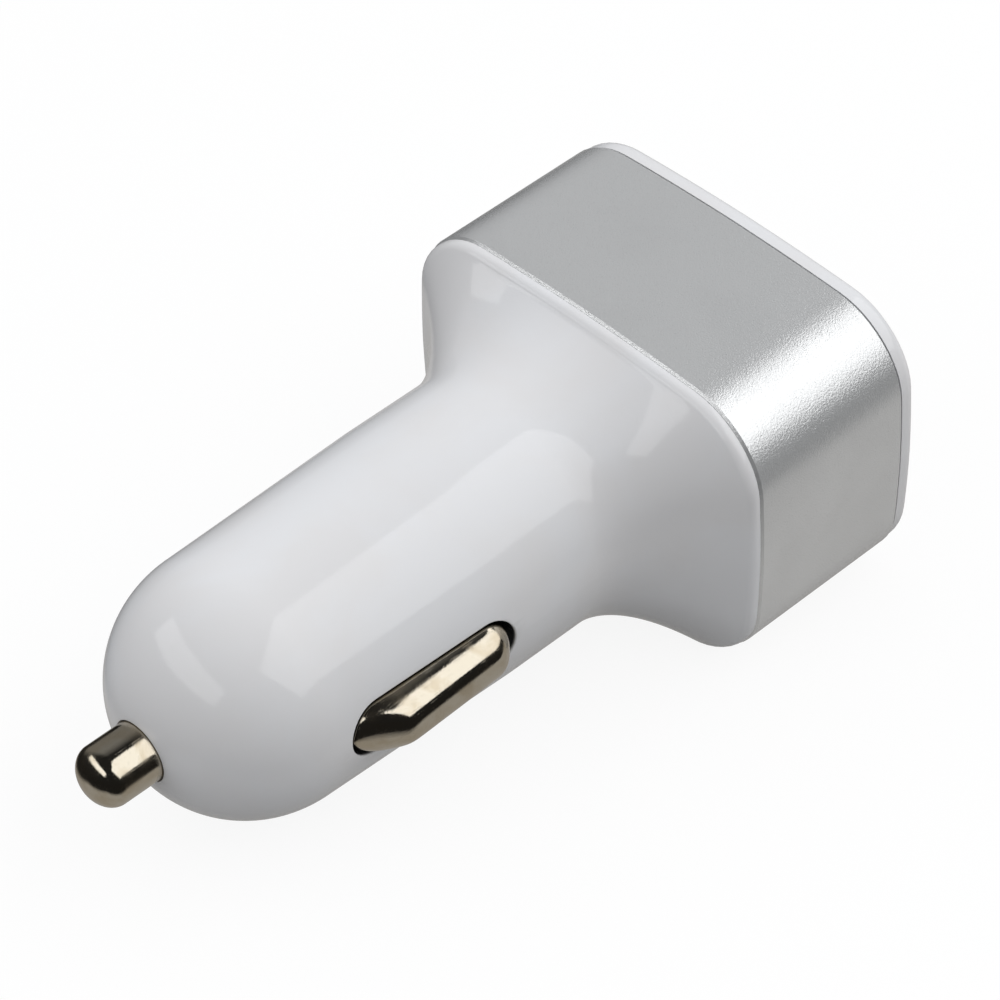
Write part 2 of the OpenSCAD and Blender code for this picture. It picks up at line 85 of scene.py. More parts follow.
class PlugSizes(PropertyGroup):
    """Outer sizes of the plug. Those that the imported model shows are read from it."""

    head_w: FloatProperty(
        name="Head width", description="Width of the head", default=BAND_HI.y - BAND_LO.y, unit="LENGTH"
    )
    head_h: FloatProperty(
        name="Head height", description="Height of the head", default=BAND_HI.z - BAND_LO.z, unit="LENGTH"
    )
    corner_r: FloatProperty(
        name="Head corners", description="Corner radius of the head", default=5.9 * MM, unit="LENGTH"
    )
    bow: FloatProperty(
        name="Side bow", description="How far each side of the head bows out",
        default=0.75 * MM, unit="LENGTH",
    )
    neck_len: FloatProperty(
        name="Neck length", description="From the round seat to the band", default=BAND_LO.x, unit="LENGTH"
    )
    rim_r: FloatProperty(
        name="Rim radius", description="Rounding where the neck meets the band",
        default=0.95 * MM, unit="LENGTH",
    )
    seat_r: FloatProperty(
        name="Seat radius", description="Radius of the round seat", default=10.4 * MM, unit="LENGTH"
    )
    seat_len: FloatProperty(
        name="Seat length", description="Length of the round seat", default=7 * MM, unit="LENGTH"
    )
    nose_r: FloatProperty(
        name="Nose radius", description="Radius where the dome starts", default=9.97 * MM, unit="LENGTH"
    )
    dome_len: FloatProperty(
        name="Dome length", description="Length of the domed nose", default=10.2 * MM, unit="LENGTH"
    )
    barrel_len: FloatProperty(
        name="Barrel length", description="From the neck to the dome's end", default=34.2 * MM, unit="LENGTH"
    )
    slot_back: FloatProperty(
        name="Slot place", description="From the neck to the contact slots", default=8 * MM, unit="LENGTH"
    )
    slot_len: FloatProperty(
        name="Slot length", description="Length of the contact slots", default=15.1 * MM, unit="LENGTH"
    )
    slot_w: FloatProperty(
        name="Slot width", description="Width of the contact slots", default=5 * MM, unit="LENGTH"
    )
    crest_r: FloatProperty(
        name="Contact crest", description="Highest point of a contact", default=12.1 * MM, unit="LENGTH"
    )
    pin_r: FloatProperty(
        name="Pin radius", description="Radius of the centre pin", default=2.4 * MM, unit="LENGTH"
    )


class PlugColours(PropertyGroup):
    """Base colours of the finishes"""

    plastic: FloatVectorProperty(
        name="Plastic", description="White glossy moulding",
        size=3, subtype="COLOR", default=(0.78, 0.785, 0.80),
    )
    aluminium: FloatVectorProperty(
        name="Aluminium", description="Anodised band", size=3, subtype="COLOR", default=(0.88, 0.89, 0.895)
    )
    nickel: FloatVectorProperty(
        name="Nickel", description="Plated contacts", size=3, subtype="COLOR", default=(0.66, 0.605, 0.50)
    )
    brass: FloatVectorProperty(
        name="Brass", description="Terminals", size=3, subtype="COLOR", default=(0.78, 0.58, 0.26)
    )
    steel: FloatVectorProperty(
        name="Steel", description="Port shells and springs",
        size=3, subtype="COLOR", default=(0.62, 0.63, 0.64),
    )
    gold: FloatVectorProperty(
        name="Gold", description="Plated pads", size=3, subtype="COLOR", default=(0.90, 0.66, 0.27)
    )
    board: FloatVectorProperty(
        name="Board", description="Solder mask", size=3, subtype="COLOR", default=(0.012, 0.12, 0.045)
    )
    copper: FloatVectorProperty(
        name="Copper", description="Enamelled wire", size=3, subtype="COLOR", default=(0.72, 0.30, 0.12)
    )
    sleeve: FloatVectorProperty(
        name="Sleeve", description="Capacitor sleeve", size=3, subtype="COLOR", default=(0.04, 0.08, 0.28)
    )


def sizes():
    """The plug's sizes as the user set them"""
    return bpy.context.scene.plug_sizes


def colours():
    """The plug's colours as the user set them"""
    return bpy.context.scene.plug_colours


# Walls and clearances of the moulded pieces
BAND_WALL = 0.7 * MM
SLEEVE_INSET = 0.75 * MM
CAVITY_INSET = 2.35 * MM
SKIRT_INSET = 2.4 * MM
SKIRT_WALL = 1.2 * MM
SKIRT_LEN = 4 * MM
PLATE_BACK = 1.4 * MM
RIM_INSET = 0.12 * MM
RIM_FLAT = 0.15 * MM
RIM_START = math.radians(35)
LIP_STEPS = 6
# How far along a small round its middle row lies
ROUND_MIDDLE = 0.3
BORE_R = 8.5 * MM
NECK_SHIFT = 1 * MM
SEAM = 0.07 * MM
CHAMFER = 0.18 * MM


def corner_arc(cy, cz, r, start):
    """Points on a quarter circle across the axis"""
    steps = range(CORNER_STEPS + 1)
    angles = [start + math.pi / 2 * i / CORNER_STEPS for i in steps]
    return [Vector((cy + r * math.cos(a), cz + r * math.sin(a))) for a in angles]


def between(first, last, steps):
    """Points that divide a straight side, ends left out"""
    return [first.lerp(last, i / steps) for i in range(1, steps)]


def side_of(value):
    """Which side of the middle a value lies on: -1 or 1, and 0 in the middle"""
    return 0 if abs(value) < MERGE else math.copysign(1, value)


def head_outline(inset):
    """The head's outline across the axis, drawn in by an inset, with its four sides bowed outwards"""
    a = sizes().head_w / 2 - inset
    b = sizes().head_h / 2 - inset
    r = max(sizes().corner_r - inset, 0.6 * MM)
    centres = ((a - r, b - r), (r - a, b - r), (r - a, r - b), (a - r, r - b))
    arcs = [corner_arc(cy, cz, r, i * math.pi / 2) for i, (cy, cz) in enumerate(centres)]
    points = []
    for i, arc in enumerate(arcs):
        steps = SHORT_STEPS if i % 2 else LONG_STEPS
        points += arc + between(arc[-1], arcs[(i + 1) % 4][0], steps)
    bow = sizes().bow
    return [
        Vector((p.x - side_of(p.x) * bow * (p.y / b) ** 2, p.y - side_of(p.y) * bow * (p.x / a) ** 2))
        for p in points
    ]


def row(x, outline):
    """An outline placed across the axis at a station"""
    return [Vector((x, p.x, p.y)) for p in outline]


def neck_row(x, circle_r, outline, share):
    """A row on the rays of an outline: a circle at share 0, the outline itself at share 1"""
    return row(x, [p * (circle_r + (p.length - circle_r) * share) / p.length for p in outline])


def grow(bm, ring, edges, places):
    """Extrudes a line or ring of edges once, and moves its new vertices to their places"""
    grown = bmesh.ops.extrude_edge_only(bm, edges=edges)["geom"]
    fresh = {item for item in grown if isinstance(item, bmesh.types.BMVert)}
    moved = [next(e.other_vert(v) for e in v.link_edges if e.other_vert(v) in fresh) for v in ring]
    for vert, place in zip(moved, places):
        vert.co = place
    return moved, [e for e in grown if isinstance(e, bmesh.types.BMEdge) and set(e.verts) <= fresh]


def face_outwards(bm):
    """Merges doubled vertices, and turns every face of a closed mesh outwards"""
    bmesh.ops.remove_doubles(bm, verts=bm.verts, dist=MERGE)
    bmesh.ops.recalc_face_normals(bm, faces=bm.faces)
    if bm.calc_volume(signed=True) < 0:
        bmesh.ops.reverse_faces(bm, faces=bm.faces)


def skin(bm, rows, ends):
    """A skin through closed rows of points, whose ends are either "joined" to each other or "capped" """
    ring = bmesh.ops.create_circle(bm, segments=len(rows[0]), radius=MM)["verts"]
    for vert, place in zip(ring, rows[0]):
        vert.co = place
    edges = list({e for v in ring for e in v.link_edges})
    first = edges
    for places in rows[1:]:
        ring, edges = grow(bm, ring, edges, places)
    if ends == "joined":
        grow(bm, ring, edges, rows[0])
    else:
        bmesh.ops.edgeloop_fill(bm, edges=first)
        bmesh.ops.edgeloop_fill(bm, edges=edges)
    face_outwards(bm)


def lathe(bm, profile, steps=96):
    """Spins a half section, given as points of station and radius, about the plug's axis"""
    verts = [bm.verts.new((x, 0, r)) for x, r in profile]
    edges = [bm.edges.new(pair) for pair in zip(verts, verts[1:])]
    bmesh.ops.spin(
        bm, geom=verts + edges, cent=(0, 0, 0), axis=(1, 0, 0), angle=2 * math.pi, steps=steps, use_merge=True
    )
    face_outwards(bm)


def score(bm, places, direction):
    """Divides a mesh by planes that face a direction, so that no opening falls inside a single face"""
    for place in places:
        everything = bm.verts[:] + bm.edges[:] + bm.faces[:]
        bmesh.ops.bisect_plane(
            bm, geom=everything, dist=MERGE / 10, plane_co=direction * place, plane_no=direction
        )


def mesh_object(bm, name):
    """Turns a bmesh into an object at the origin"""
    mesh = bpy.data.meshes.new(name)
    bm.to_mesh(mesh)
    bm.free()
    made = bpy.data.objects.new(name, mesh)
    bpy.context.scene.collection.objects.link(made)
    return made


def carve(piece, cutter, operation="DIFFERENCE"):
    """Cuts a closed mesh out of a piece, or joins it on, and keeps the result as the piece's mesh"""
    cut = piece.modifiers.new("cut", "BOOLEAN")
    cut.operation = operation
    cut.solver = "MANIFOLD"
    cut.object = cutter
    bpy.context.view_layer.update()
    view = bpy.context.evaluated_depsgraph_get()
    carved = bpy.data.meshes.new_from_object(piece.evaluated_get(view))
    piece.modifiers.clear()
    piece.data = carved
    bpy.data.objects.remove(cutter)


def finish_piece(piece, body, node, materials):
    """Smooths a new piece, gives it its materials, and lets it stand for its node on its body"""
    piece.data.materials.clear()
    for material in materials:
        piece.data.materials.append(material)
    piece.data.shade_smooth()
    piece.data.set_sharp_from_angle(angle=SMOOTH_ANGLE)
    even = piece.modifiers.new("even_shading", "WEIGHTED_NORMAL")
    even.keep_sharp = True
    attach(piece, body)
    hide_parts(node)


def put(tree, kind, inputs=None, **settings):
    """Adds a node, sets its options, and gives each input a value or a link"""
    made = tree.nodes.new(kind)
    for name, value in settings.items():
        setattr(made, name, value)
    for name, value in (inputs or {}).items():
        if isinstance(value, bpy.types.NodeSocket):
            tree.links.new(value, made.inputs[name])
        else:
            made.inputs[name].default_value = value
    return made


def calculate(tree, operation, first, second):
    """The output of a math node"""
    return put(tree, "ShaderNodeMath", {0: first, 1: second}, operation=operation).outputs[0]


def spread(tree, value, low, high, to_low=0.0, to_high=1.0):
    """A value mapped from one range to another, and held inside it"""
    inputs = {"Value": value, "From Min": low, "From Max": high, "To Min": to_low, "To Max": to_high}
    return put(tree, "ShaderNodeMapRange", inputs).outputs["Result"]


def blend_colours(tree, share, first, second):
    """The colour output of a mix node"""
    return put(tree, "ShaderNodeMix", {0: share, 6: first, 7: second}, data_type="RGBA").outputs[2]


def opaque(colour, factor=1.0):
    """A colour made lighter or darker, with full alpha"""
    return (*[min(1.0, channel * factor) for channel in colour], 1.0)


def tinted(colour, factors):
    """A colour with a factor for each channel, with full alpha"""
    return opaque([channel * factor for channel, factor in zip(colour, factors)])


def new_group(name, inputs, outputs):
    """An empty shader node group with its named sockets"""
    group = bpy.data.node_groups.new(name, "ShaderNodeTree")
    for label, default in inputs.items():
        socket = group.interface.new_socket(label, in_out="INPUT", socket_type="NodeSocketFloat")
        socket.default_value = default
    for label in outputs:
        group.interface.new_socket(label, in_out="OUTPUT", socket_type="NodeSocketFloat")
    return group, group.nodes.new("NodeGroupInput").outputs, group.nodes.new("NodeGroupOutput").inputs


def scaled_place(tree, size, stretch=(1, 1, 1), turn=(0, 0, 0)):
    """Object coordinates turned, stretched, and divided by a feature size"""
    place = put(tree, "ShaderNodeTexCoord").outputs["Object"]
    turned = put(tree, "ShaderNodeMapping", {"Vector": place, "Rotation": turn, "Scale": stretch}).outputs[0]
    scale = calculate(tree, "DIVIDE", 1.0, size)
    return put(tree, "ShaderNodeVectorMath", {0: turned, "Scale": scale}, operation="SCALE").outputs[0]


def grain_group():
    """Fine grain of a blasted, plated or moulded surface: its height, and scattered pits"""
    group, values, results = new_group("Fine grain", {"Size": 0.15 * MM, "Pits": 0.3}, ("Height", "Pit mask"))
    place = scaled_place(group, values["Size"])
    noise = put(group, "ShaderNodeTexNoise", {"Vector": place, "Scale": 1.0, "Detail": 3.0, "Roughness": 0.6})
    cells = put(group, "ShaderNodeTexVoronoi", {"Vector": place, "Scale": 0.55})
    pits = spread(group, cells.outputs["Distance"], 0.05, 0.32, 1.0, 0.0)
    pits = calculate(group, "MULTIPLY", pits, values["Pits"])
    group.links.new(calculate(group, "SUBTRACT", noise.outputs[0], pits), results["Height"])
    group.links.new(pits, results["Pit mask"])
    return group


def blotch_group():
    """Broad soft patches, as handling and uneven finishing leave them"""
    group, values, results = new_group("Soft patches", {"Size": 6 * MM, "Sharpness": 0.5}, ("Mask",))
    place = scaled_place(group, values["Size"])
    inputs = {"Vector": place, "Scale": 1.0, "Detail": 4.0, "Distortion": 0.4}
    noise = put(group, "ShaderNodeTexNoise", inputs)
    half = calculate(group, "SUBTRACT", 0.55, calculate(group, "MULTIPLY", values["Sharpness"], 0.25))
    top = calculate(group, "SUBTRACT", 1.0, half)
    group.links.new(spread(group, noise.outputs[0], half, top), results["Mask"])
    return group


def hairline_group():
    """Sparse hair-thin scratches along two directions"""
    group, values, results = new_group("Hairlines", {"Length": 4 * MM, "Amount": 0.5}, ("Mask",))
    masks = []
    for turn in ((0.3, 0.5, 0.2), (1.1, -0.4, 0.9)):
        place = scaled_place(group, values["Length"], (1, 60, 60), turn)
        noise = put(group, "ShaderNodeTexNoise", {"Vector": place, "Scale": 1.0, "Detail": 1.0})
        masks.append(spread(group, noise.outputs[0], 0.68, 0.74))
    both = calculate(group, "MAXIMUM", *masks)
    group.links.new(calculate(group, "MULTIPLY", both, values["Amount"]), results["Mask"])
    return group


def slot_shade_group():
    """Painted shade in the contact slots: a mask of where the colour is darkened, below the barrel's surface
    """
    group, values, results = new_group("Painted slot shade", {"Amount": 1.0}, ("Mask",))
    s = sizes()
    place = put(group, "ShaderNodeTexCoord").outputs["Object"]
    along = put(group, "ShaderNodeSeparateXYZ", {0: place}).outputs["X"]
    across = put(group, "ShaderNodeVectorMath", {0: place, 1: (0, 1, 1)}, operation="MULTIPLY").outputs[0]
    radius = put(group, "ShaderNodeVectorMath", {0: across}, operation="LENGTH").outputs["Value"]
    wall = spread(group, along, s.dome_len - s.barrel_len, -s.seat_len, s.nose_r, s.seat_r)
    shade_start, shade_full, soft = 0.06 * MM, 0.26 * MM, 0.2 * MM
    depth = spread(group, calculate(group, "SUBTRACT", wall, radius), shade_start, shade_full)
    front, back = -s.slot_back - s.slot_len, -s.slot_back
    behind_front = spread(group, along, front - 2 * soft, front - soft)
    before_back = spread(group, along, back + soft, back + 2 * soft, 1.0, 0.0)
    inside = calculate(group, "MULTIPLY", behind_front, before_back)
    mask = calculate(group, "MULTIPLY", calculate(group, "MULTIPLY", depth, inside), values["Amount"])
    group.links.new(mask, results["Mask"])
    return group


GROUP_MAKERS = {
    "grain": grain_group,
    "blotch": blotch_group,
    "hairline": hairline_group,
    "painted_slot_shade": slot_shade_group,
}
groups = {}


def effect(tree, kind, **values):
    """Places a shared effect in a material with its own values"""
    if kind not in groups:
        groups[kind] = GROUP_MAKERS[kind]()
    made = tree.nodes.new("ShaderNodeGroup")
    made.node_tree = groups[kind]
    for name, value in values.items():
        made.inputs[name.replace("_", " ")].default_value = value
    return made.outputs


def new_material(name, **constants):
    """A material with its Principled shader and the constants that are set on it"""
    material = bpy.data.materials.new(name)
    material.use_nodes = True
    shader = material.node_tree.nodes["Principled BSDF"]
    for label, value in constants.items():
        shader.inputs[label.replace("_", " ")].default_value = value
    return material, material.node_tree, shader.inputs


def raise_surface(tree, shader, height, distance):
    """Feeds a height to the shader's normal"""
    bump = put(tree, "ShaderNodeBump", {"Height": height, "Distance": distance})
    tree.links.new(bump.outputs[0], shader["Normal"])


# How dark a colour is in patches and pits, how dark painted shade makes it in the slots, and how much
# roughness a scratch adds
PATCH_FACTOR = 0.93
PIT_FACTOR = 0.75
PAINTED_SHADE_FACTOR = 0.02
SCRATCH_ROUGHNESS = 0.25


def surface(
    name, colour, roughness, metallic=0.0, grain_size=0.2 * MM, pits=0.2, relief=0.001 * MM,
    patch_size=7 * MM, patch_tint=None, patch_rough=0.04, scratches=0.3, painted_slot_shade=0.0, **constants
):
    """A finish made of the shared effects, with the constants that are set on its shader"""
    material, tree, shader = new_material(name, Metallic=metallic, **constants)
    grain = effect(tree, "grain", Size=grain_size, Pits=pits)
    patches = effect(tree, "blotch", Size=patch_size)["Mask"]
    lines = effect(tree, "hairline", Amount=scratches)["Mask"]
    base = blend_colours(tree, patches, opaque(colour), patch_tint or opaque(colour, PATCH_FACTOR))
    base = blend_colours(tree, grain["Pit mask"], base, opaque(colour, PIT_FACTOR))
    # Painted shade: the colour darkens towards black in the contact slots, below the barrel's surface
    if painted_slot_shade:
        shade = effect(tree, "painted_slot_shade", Amount=painted_slot_shade)["Mask"]
        base = blend_colours(tree, shade, base, opaque(colour, PAINTED_SHADE_FACTOR))
    tree.links.new(base, shader["Base Color"])
    rough = spread(tree, patches, 0.0, 1.0, roughness, roughness + patch_rough)
    rough = calculate(tree, "ADD", rough, calculate(tree, "MULTIPLY", lines, SCRATCH_ROUGHNESS))
    tree.links.new(rough, shader["Roughness"])
    height = calculate(tree, "SUBTRACT", grain["Height"], lines)
    raise_surface(tree, shader, height, relief)
    return material


def white_plastic():
    """Glossy white moulding with a slight waviness"""
    colour = colours().plastic
    # Painted shade darkens the walls of the contact slots
    return surface(
        "white_plastic", colour, 0.07, grain_size=1.4 * MM, pits=0.0, relief=0.004 * MM,
        patch_size=11 * MM, patch_tint=tinted(colour, (0.985, 0.975, 0.965)),
        patch_rough=0.03, scratches=0.12, painted_slot_shade=0.95, IOR=1.5,
    )


def satin_aluminium():
    """Bead-blasted and anodised aluminium"""
    return surface(
        "satin_aluminium", colours().aluminium, 0.2, metallic=0.62, grain_size=0.14 * MM, pits=0.22,
        relief=0.03 * MM, patch_size=9 * MM, patch_tint=opaque(colours().aluminium, 0.97),
        patch_rough=0.03, scratches=0.0,
    )


def cut_aluminium():
    """Bright edge turned after anodising, with fine tool lines"""
    material, tree, shader = new_material("cut_aluminium", Metallic=1.0, Base_Color=(0.93, 0.94, 0.95, 1))
    place = scaled_place(tree, 0.05 * MM, (1, 0.02, 0.02))
    lines = put(tree, "ShaderNodeTexNoise", {"Vector": place, "Scale": 1.0, "Detail": 2.0}).outputs[0]
    tree.links.new(spread(tree, lines, 0.3, 0.7, 0.1, 0.24), shader["Roughness"])
    raise_surface(tree, shader, lines, 0.002 * MM)
    return material


def warm_nickel():
    """Polished nickel plating with a warm tint and a fine uneven grain"""
    colour = colours().nickel
    # Painted shade darkens the contacts where they sink below the barrel's surface into the slots
    return surface(
        "warm_nickel", colour, 0.08, metallic=1.0, grain_size=0.16 * MM, pits=0.25, relief=0.004 * MM,
        patch_size=2.6 * MM, patch_tint=tinted(colour, (0.9, 0.86, 0.8)),
        patch_rough=0.1, scratches=0.35, painted_slot_shade=0.9,
    )


def spring_steel():
    """Drawn wire"""
    return surface(
        "spring_steel", colours().steel, 0.28, metallic=1.0, grain_size=0.06 * MM, relief=0.003 * MM,
    )


def port_steel():
    """Folded and plated sheet, with rolling marks"""
    return surface(
        "port_steel", colours().steel, 0.24, metallic=1.0, grain_size=0.09 * MM, relief=0.003 * MM,
        patch_size=3 * MM, scratches=0.5,
    )


def brass():
    """Stamped brass strip, a little dulled"""
    return surface("brass", colours().brass, 0.3, metallic=1.0, patch_size=2 * MM, patch_rough=0.15)


def gold_plate():
    """Gold flash on the pads, rubbed where plugs slide"""
    return surface("gold_plate", colours().gold, 0.2, metallic=1.0, patch_size=1 * MM, scratches=0.6)


def white_insulator():
    """Satin white moulding of the ports"""
    return surface(
        "white_insulator", colours().plastic, 0.34, grain_size=0.3 * MM, relief=0.003 * MM, IOR=1.52,
    )


def black_moulding():
    """Matt black epoxy with an eroded grain"""
    return surface(
        "black_moulding", (0.02, 0.02, 0.022), 0.5, grain_size=0.12 * MM, pits=0.4, relief=0.008 * MM,
        patch_tint=(0.035, 0.035, 0.036, 1), patch_size=1.5 * MM,
    )


def ferrite():
    """Pressed ferrite, dark grey and slightly porous"""
    return surface(
        "ferrite", (0.07, 0.07, 0.072), 0.45, grain_size=0.15 * MM, pits=0.7, relief=0.012 * MM,
        patch_tint=(0.1, 0.095, 0.09, 1), patch_size=1.5 * MM,
    )


def copper_wire():
    """Enamelled copper under a glossy coat"""
    return surface(
        "copper_wire", colours().copper, 0.25, metallic=1.0, Coat_Weight=0.6, Coat_Roughness=0.12,
        patch_tint=opaque(colours().copper, 0.7), patch_size=1.2 * MM,
    )


def capacitor_sleeve():
    """Plain shrunk sleeve over a can"""
    return surface(
        "capacitor_sleeve", colours().sleeve, 0.28, grain_size=0.8 * MM, pits=0.0, relief=0.01 * MM,
        patch_tint=opaque(colours().sleeve, 1.3), patch_size=4 * MM,
    )


def ceramic_body():
    """Off-white ceramic"""
    return surface("ceramic_body", (0.78, 0.74, 0.62), 0.4, grain_size=0.1 * MM, pits=0.4, relief=0.005 * MM)


def lamp_resin():
    """Yellowish phosphor under clear resin"""
    return surface(
        "lamp_resin", (0.85, 0.72, 0.28), 0.2, grain_size=0.1 * MM, patch_size=0.5 * MM, Coat_Weight=0.7,
    )


def clear_rod():
    """Clear light pipe"""
    material, tree, shader = new_material("clear_rod", Transmission_Weight=1.0, IOR=1.49)
    patches = effect(tree, "blotch", Size=1.5 * MM)["Mask"]
    tint = blend_colours(tree, patches, (0.94, 0.97, 1, 1), (0.9, 0.94, 0.97, 1))
    tree.links.new(tint, shader["Base Color"])
    tree.links.new(spread(tree, patches, 0.0, 1.0, 0.06, 0.16), shader["Roughness"])
    grain = effect(tree, "grain", Size=0.3 * MM)
    raise_surface(tree, shader, grain["Height"], 0.002 * MM)
    return material


def circuit_board():
    """Solder mask over copper tracks"""
    colour = colours().board
    material, tree, shader = new_material("circuit_board", Coat_Roughness=0.15)
    place = scaled_place(tree, 2.2 * MM)
    cells = put(tree, "ShaderNodeTexVoronoi", {"Vector": place, "Scale": 1.0}, distance="MANHATTAN")
    tracks = calculate(tree, "MULTIPLY", cells.outputs["Distance"], 3.0)
    rings = calculate(tree, "PINGPONG", tracks, 0.5)
    lines = spread(tree, rings, 0.22, 0.26)
    patches = effect(tree, "blotch", Size=5 * MM)["Mask"]
    mask = blend_colours(tree, patches, opaque(colour), opaque(colour, 0.8))
    tree.links.new(blend_colours(tree, lines, mask, opaque(colour, 2.1)), shader["Base Color"])
    tree.links.new(spread(tree, lines, 0.0, 1.0, 0.32, 0.24), shader["Roughness"])
    raise_surface(tree, shader, lines, 0.02 * MM)
    return material


materials = {}


def finish(maker):
    """A finish, made once"""
    if maker not in materials:
        materials[maker] = maker()
    return materials[maker]


def barrel_r(x):
    """Radius of the barrel behind the dome"""
    dome_back = sizes().dome_len - sizes().barrel_len
    share = (x - dome_back) / (-sizes().seat_len - dome_back)
    return sizes().nose_r + (sizes().seat_r - sizes().nose_r) * min(max(share, 0), 1)


def dome_rows(outline, length, radius, first_r, steps):
    """Rows along a dome from a small radius to its foot"""
    dome_back = sizes().dome_len - sizes().barrel_len
    start = math.asin(first_r / radius)
    angles = [start + (math.pi / 2 - start) * i / steps for i in range(steps + 1)]
    return [neck_row(dome_back - length * math.cos(a), radius * math.sin(a), outline, 0) for a in angles]


def housing_rows():
    """Rows round the housing's wall: out along dome, barrel, neck and sleeve, and back along the inside"""
    s = sizes()
    dome_back = s.dome_len - s.barrel_len
    pin_gap, hole_round = 0.07 * MM, 0.12 * MM
    hole_r = s.pin_r + pin_gap
    nose_wall, dome_wall, chamber_over, sleeve_step = 2.6 * MM, 1.5 * MM, 0.2 * MM, 0.6 * MM
    chamber_front, chamber_back = nose_wall - s.barrel_len, dome_back + chamber_over
    chamber_r, tube_r = 3.7 * MM, 4.9 * MM
    flare_end = s.neck_len - RIM_FLAT - s.rim_r * math.cos(RIM_START)
    flare = head_outline(RIM_INSET + s.rim_r * (1 - math.sin(RIM_START)))
    hollow = head_outline(CAVITY_INSET)
    barrel_steps, seat_steps, flare_steps, rim_steps, hollow_steps = 14, 5, 30, 10, 12
    dome_steps, inner_steps = 36, 16

    rows = [neck_row(chamber_front, hole_r, flare, 0)]
    mouth_x = dome_back - s.dome_len * math.cos(math.asin(hole_r / s.nose_r))
    rows += [neck_row(mouth_x + hole_round, hole_r, flare, 0)]
    middle = hole_round * ROUND_MIDDLE
    rows += [neck_row(mouth_x + middle, hole_r + middle, flare, 0)]
    rows += dome_rows(flare, s.dome_len, s.nose_r, hole_r + hole_round, dome_steps)
    for i in range(1, barrel_steps + 1):
        x = dome_back + (-s.seat_len - dome_back) * i / barrel_steps
        rows.append(neck_row(x, barrel_r(x), flare, 0))
    for i in range(1, seat_steps):
        rows.append(neck_row(-s.seat_len * (1 - i / seat_steps), s.seat_r, flare, 0))
    for i in range(flare_steps + 1):
        share = i / flare_steps
        rows.append(neck_row(flare_end * share, s.seat_r, flare, share ** 2))
    for i in range(1, rim_steps + 1):
        a = RIM_START + (math.pi / 2 - RIM_START) * i / rim_steps
        inset = RIM_INSET + s.rim_r * (1 - math.sin(a))
        rows.append(row(s.neck_len - RIM_FLAT - s.rim_r * math.cos(a), head_outline(inset)))
    sleeve_end = BAND_HI.x - sleeve_step
    rows += [row(s.neck_len, head_outline(RIM_INSET)), row(s.neck_len, head_outline(SLEEVE_INSET))]
    rows += [row(sleeve_end, head_outline(SLEEVE_INSET)), row(sleeve_end, hollow)]
    for i in range(hollow_steps, -1, -1):
        share = i / hollow_steps
        rows.append(neck_row(NECK_SHIFT + s.neck_len * share, BORE_R, hollow, share ** 2))
    inner = dome_rows(flare, s.dome_len - dome_wall, BORE_R, tube_r, inner_steps)
    rows += inner[::-1]
    for x, r in ((chamber_back, tube_r), (chamber_back, chamber_r), (chamber_front, chamber_r)):
        rows.append(neck_row(x, r, flare, 0))
    return rows


def lip_rows(lip, last, over):
    """Depth and growth at each row of an opening's rounded lip, up to an angle and then over the surface"""
    angles = [last * i / LIP_STEPS for i in range(LIP_STEPS + 1)]
    steps = [(lip * (1 - math.sin(a)), lip * (1 - math.cos(a))) for a in angles]
    return steps + [(-over, steps[-1][1] + over * math.tan(last))]


def slot_outline(width, front, back, grow_by):
    """Points round a slot with round ends, in station and height"""
    end_steps, side_steps = 20, 12
    r = width / 2
    ends = []
    for centre, start in ((back - r, -math.pi / 2), (front + r, math.pi / 2)):
        angles = [start + math.pi * i / end_steps for i in range(end_steps + 1)]
        reach = r + grow_by
        ends.append([Vector((centre + reach * math.cos(a), reach * math.sin(a))) for a in angles])
    sides = [between(ends[0][-1], ends[1][0], side_steps), between(ends[1][-1], ends[0][0], side_steps)]
    return ends[0] + sides[0] + ends[1] + sides[1]


def slot_cutter(side):
    """A slot-shaped solid whose mouth flares along the barrel, so that the cut leaves a rounded lip"""
    s = sizes()
    inside, outside = 6 * MM, 3 * MM
    front, back = -s.slot_back - s.slot_len, -s.slot_back
    depths = lip_rows(lip=0.14 * MM, last=math.radians(72), over=0.2 * MM)
    depths.append((-outside, depths[-1][1]))

    def place(point, depth):
        return Vector((point.x, side * (math.sqrt(barrel_r(point.x) ** 2 - point.y ** 2) - depth), point.y))

    rows = [[Vector((p.x, side * inside, p.y)) for p in slot_outline(s.slot_w, front, back, 0)]]
    for depth, growth in depths:
        rows.append([place(p, depth) for p in slot_outline(s.slot_w, front, back, growth)])
    bm = bmesh.new()
    skin(bm, rows, "capped")
    return mesh_object(bm, "slot_cutter")


def board_rail(side, level):
    """One rail on the barrel's inner wall, beside the main board"""
    length, width, height = 5.5 * MM, 4 * MM, 1 * MM
    back, aside, above = 3.25 * MM, 6.85 * MM, 1.3 * MM
    bm = bmesh.new()
    made = bmesh.ops.create_cube(bm, size=1.0)["verts"]
    bmesh.ops.scale(bm, vec=(length, width, height), verts=made)
    bmesh.ops.translate(bm, vec=(-back, side * aside, level * above), verts=made)
    bmesh.ops.recalc_face_normals(bm, faces=bm.faces)
    return mesh_object(bm, "rail")


class PLUG_OT_housing(Operator):
    """Moulds the white housing: dome, barrel, neck and sleeve in one wall, with two contact slots"""

    bl_idname = "plug.housing"
    bl_label = "Housing"

    def execute(self, context):
        bm = bmesh.new()
        skin(bm, housing_rows(), "joined")
        piece = mesh_object(bm, "white_housing")
        for side in (-1, 1):
            carve(piece, slot_cutter(side))
            for level in (-1, 1):
                carve(piece, board_rail(side, level), "UNION")
        finish_piece(piece, "body", "housing", [finish(white_plastic)])
        return {"FINISHED"}


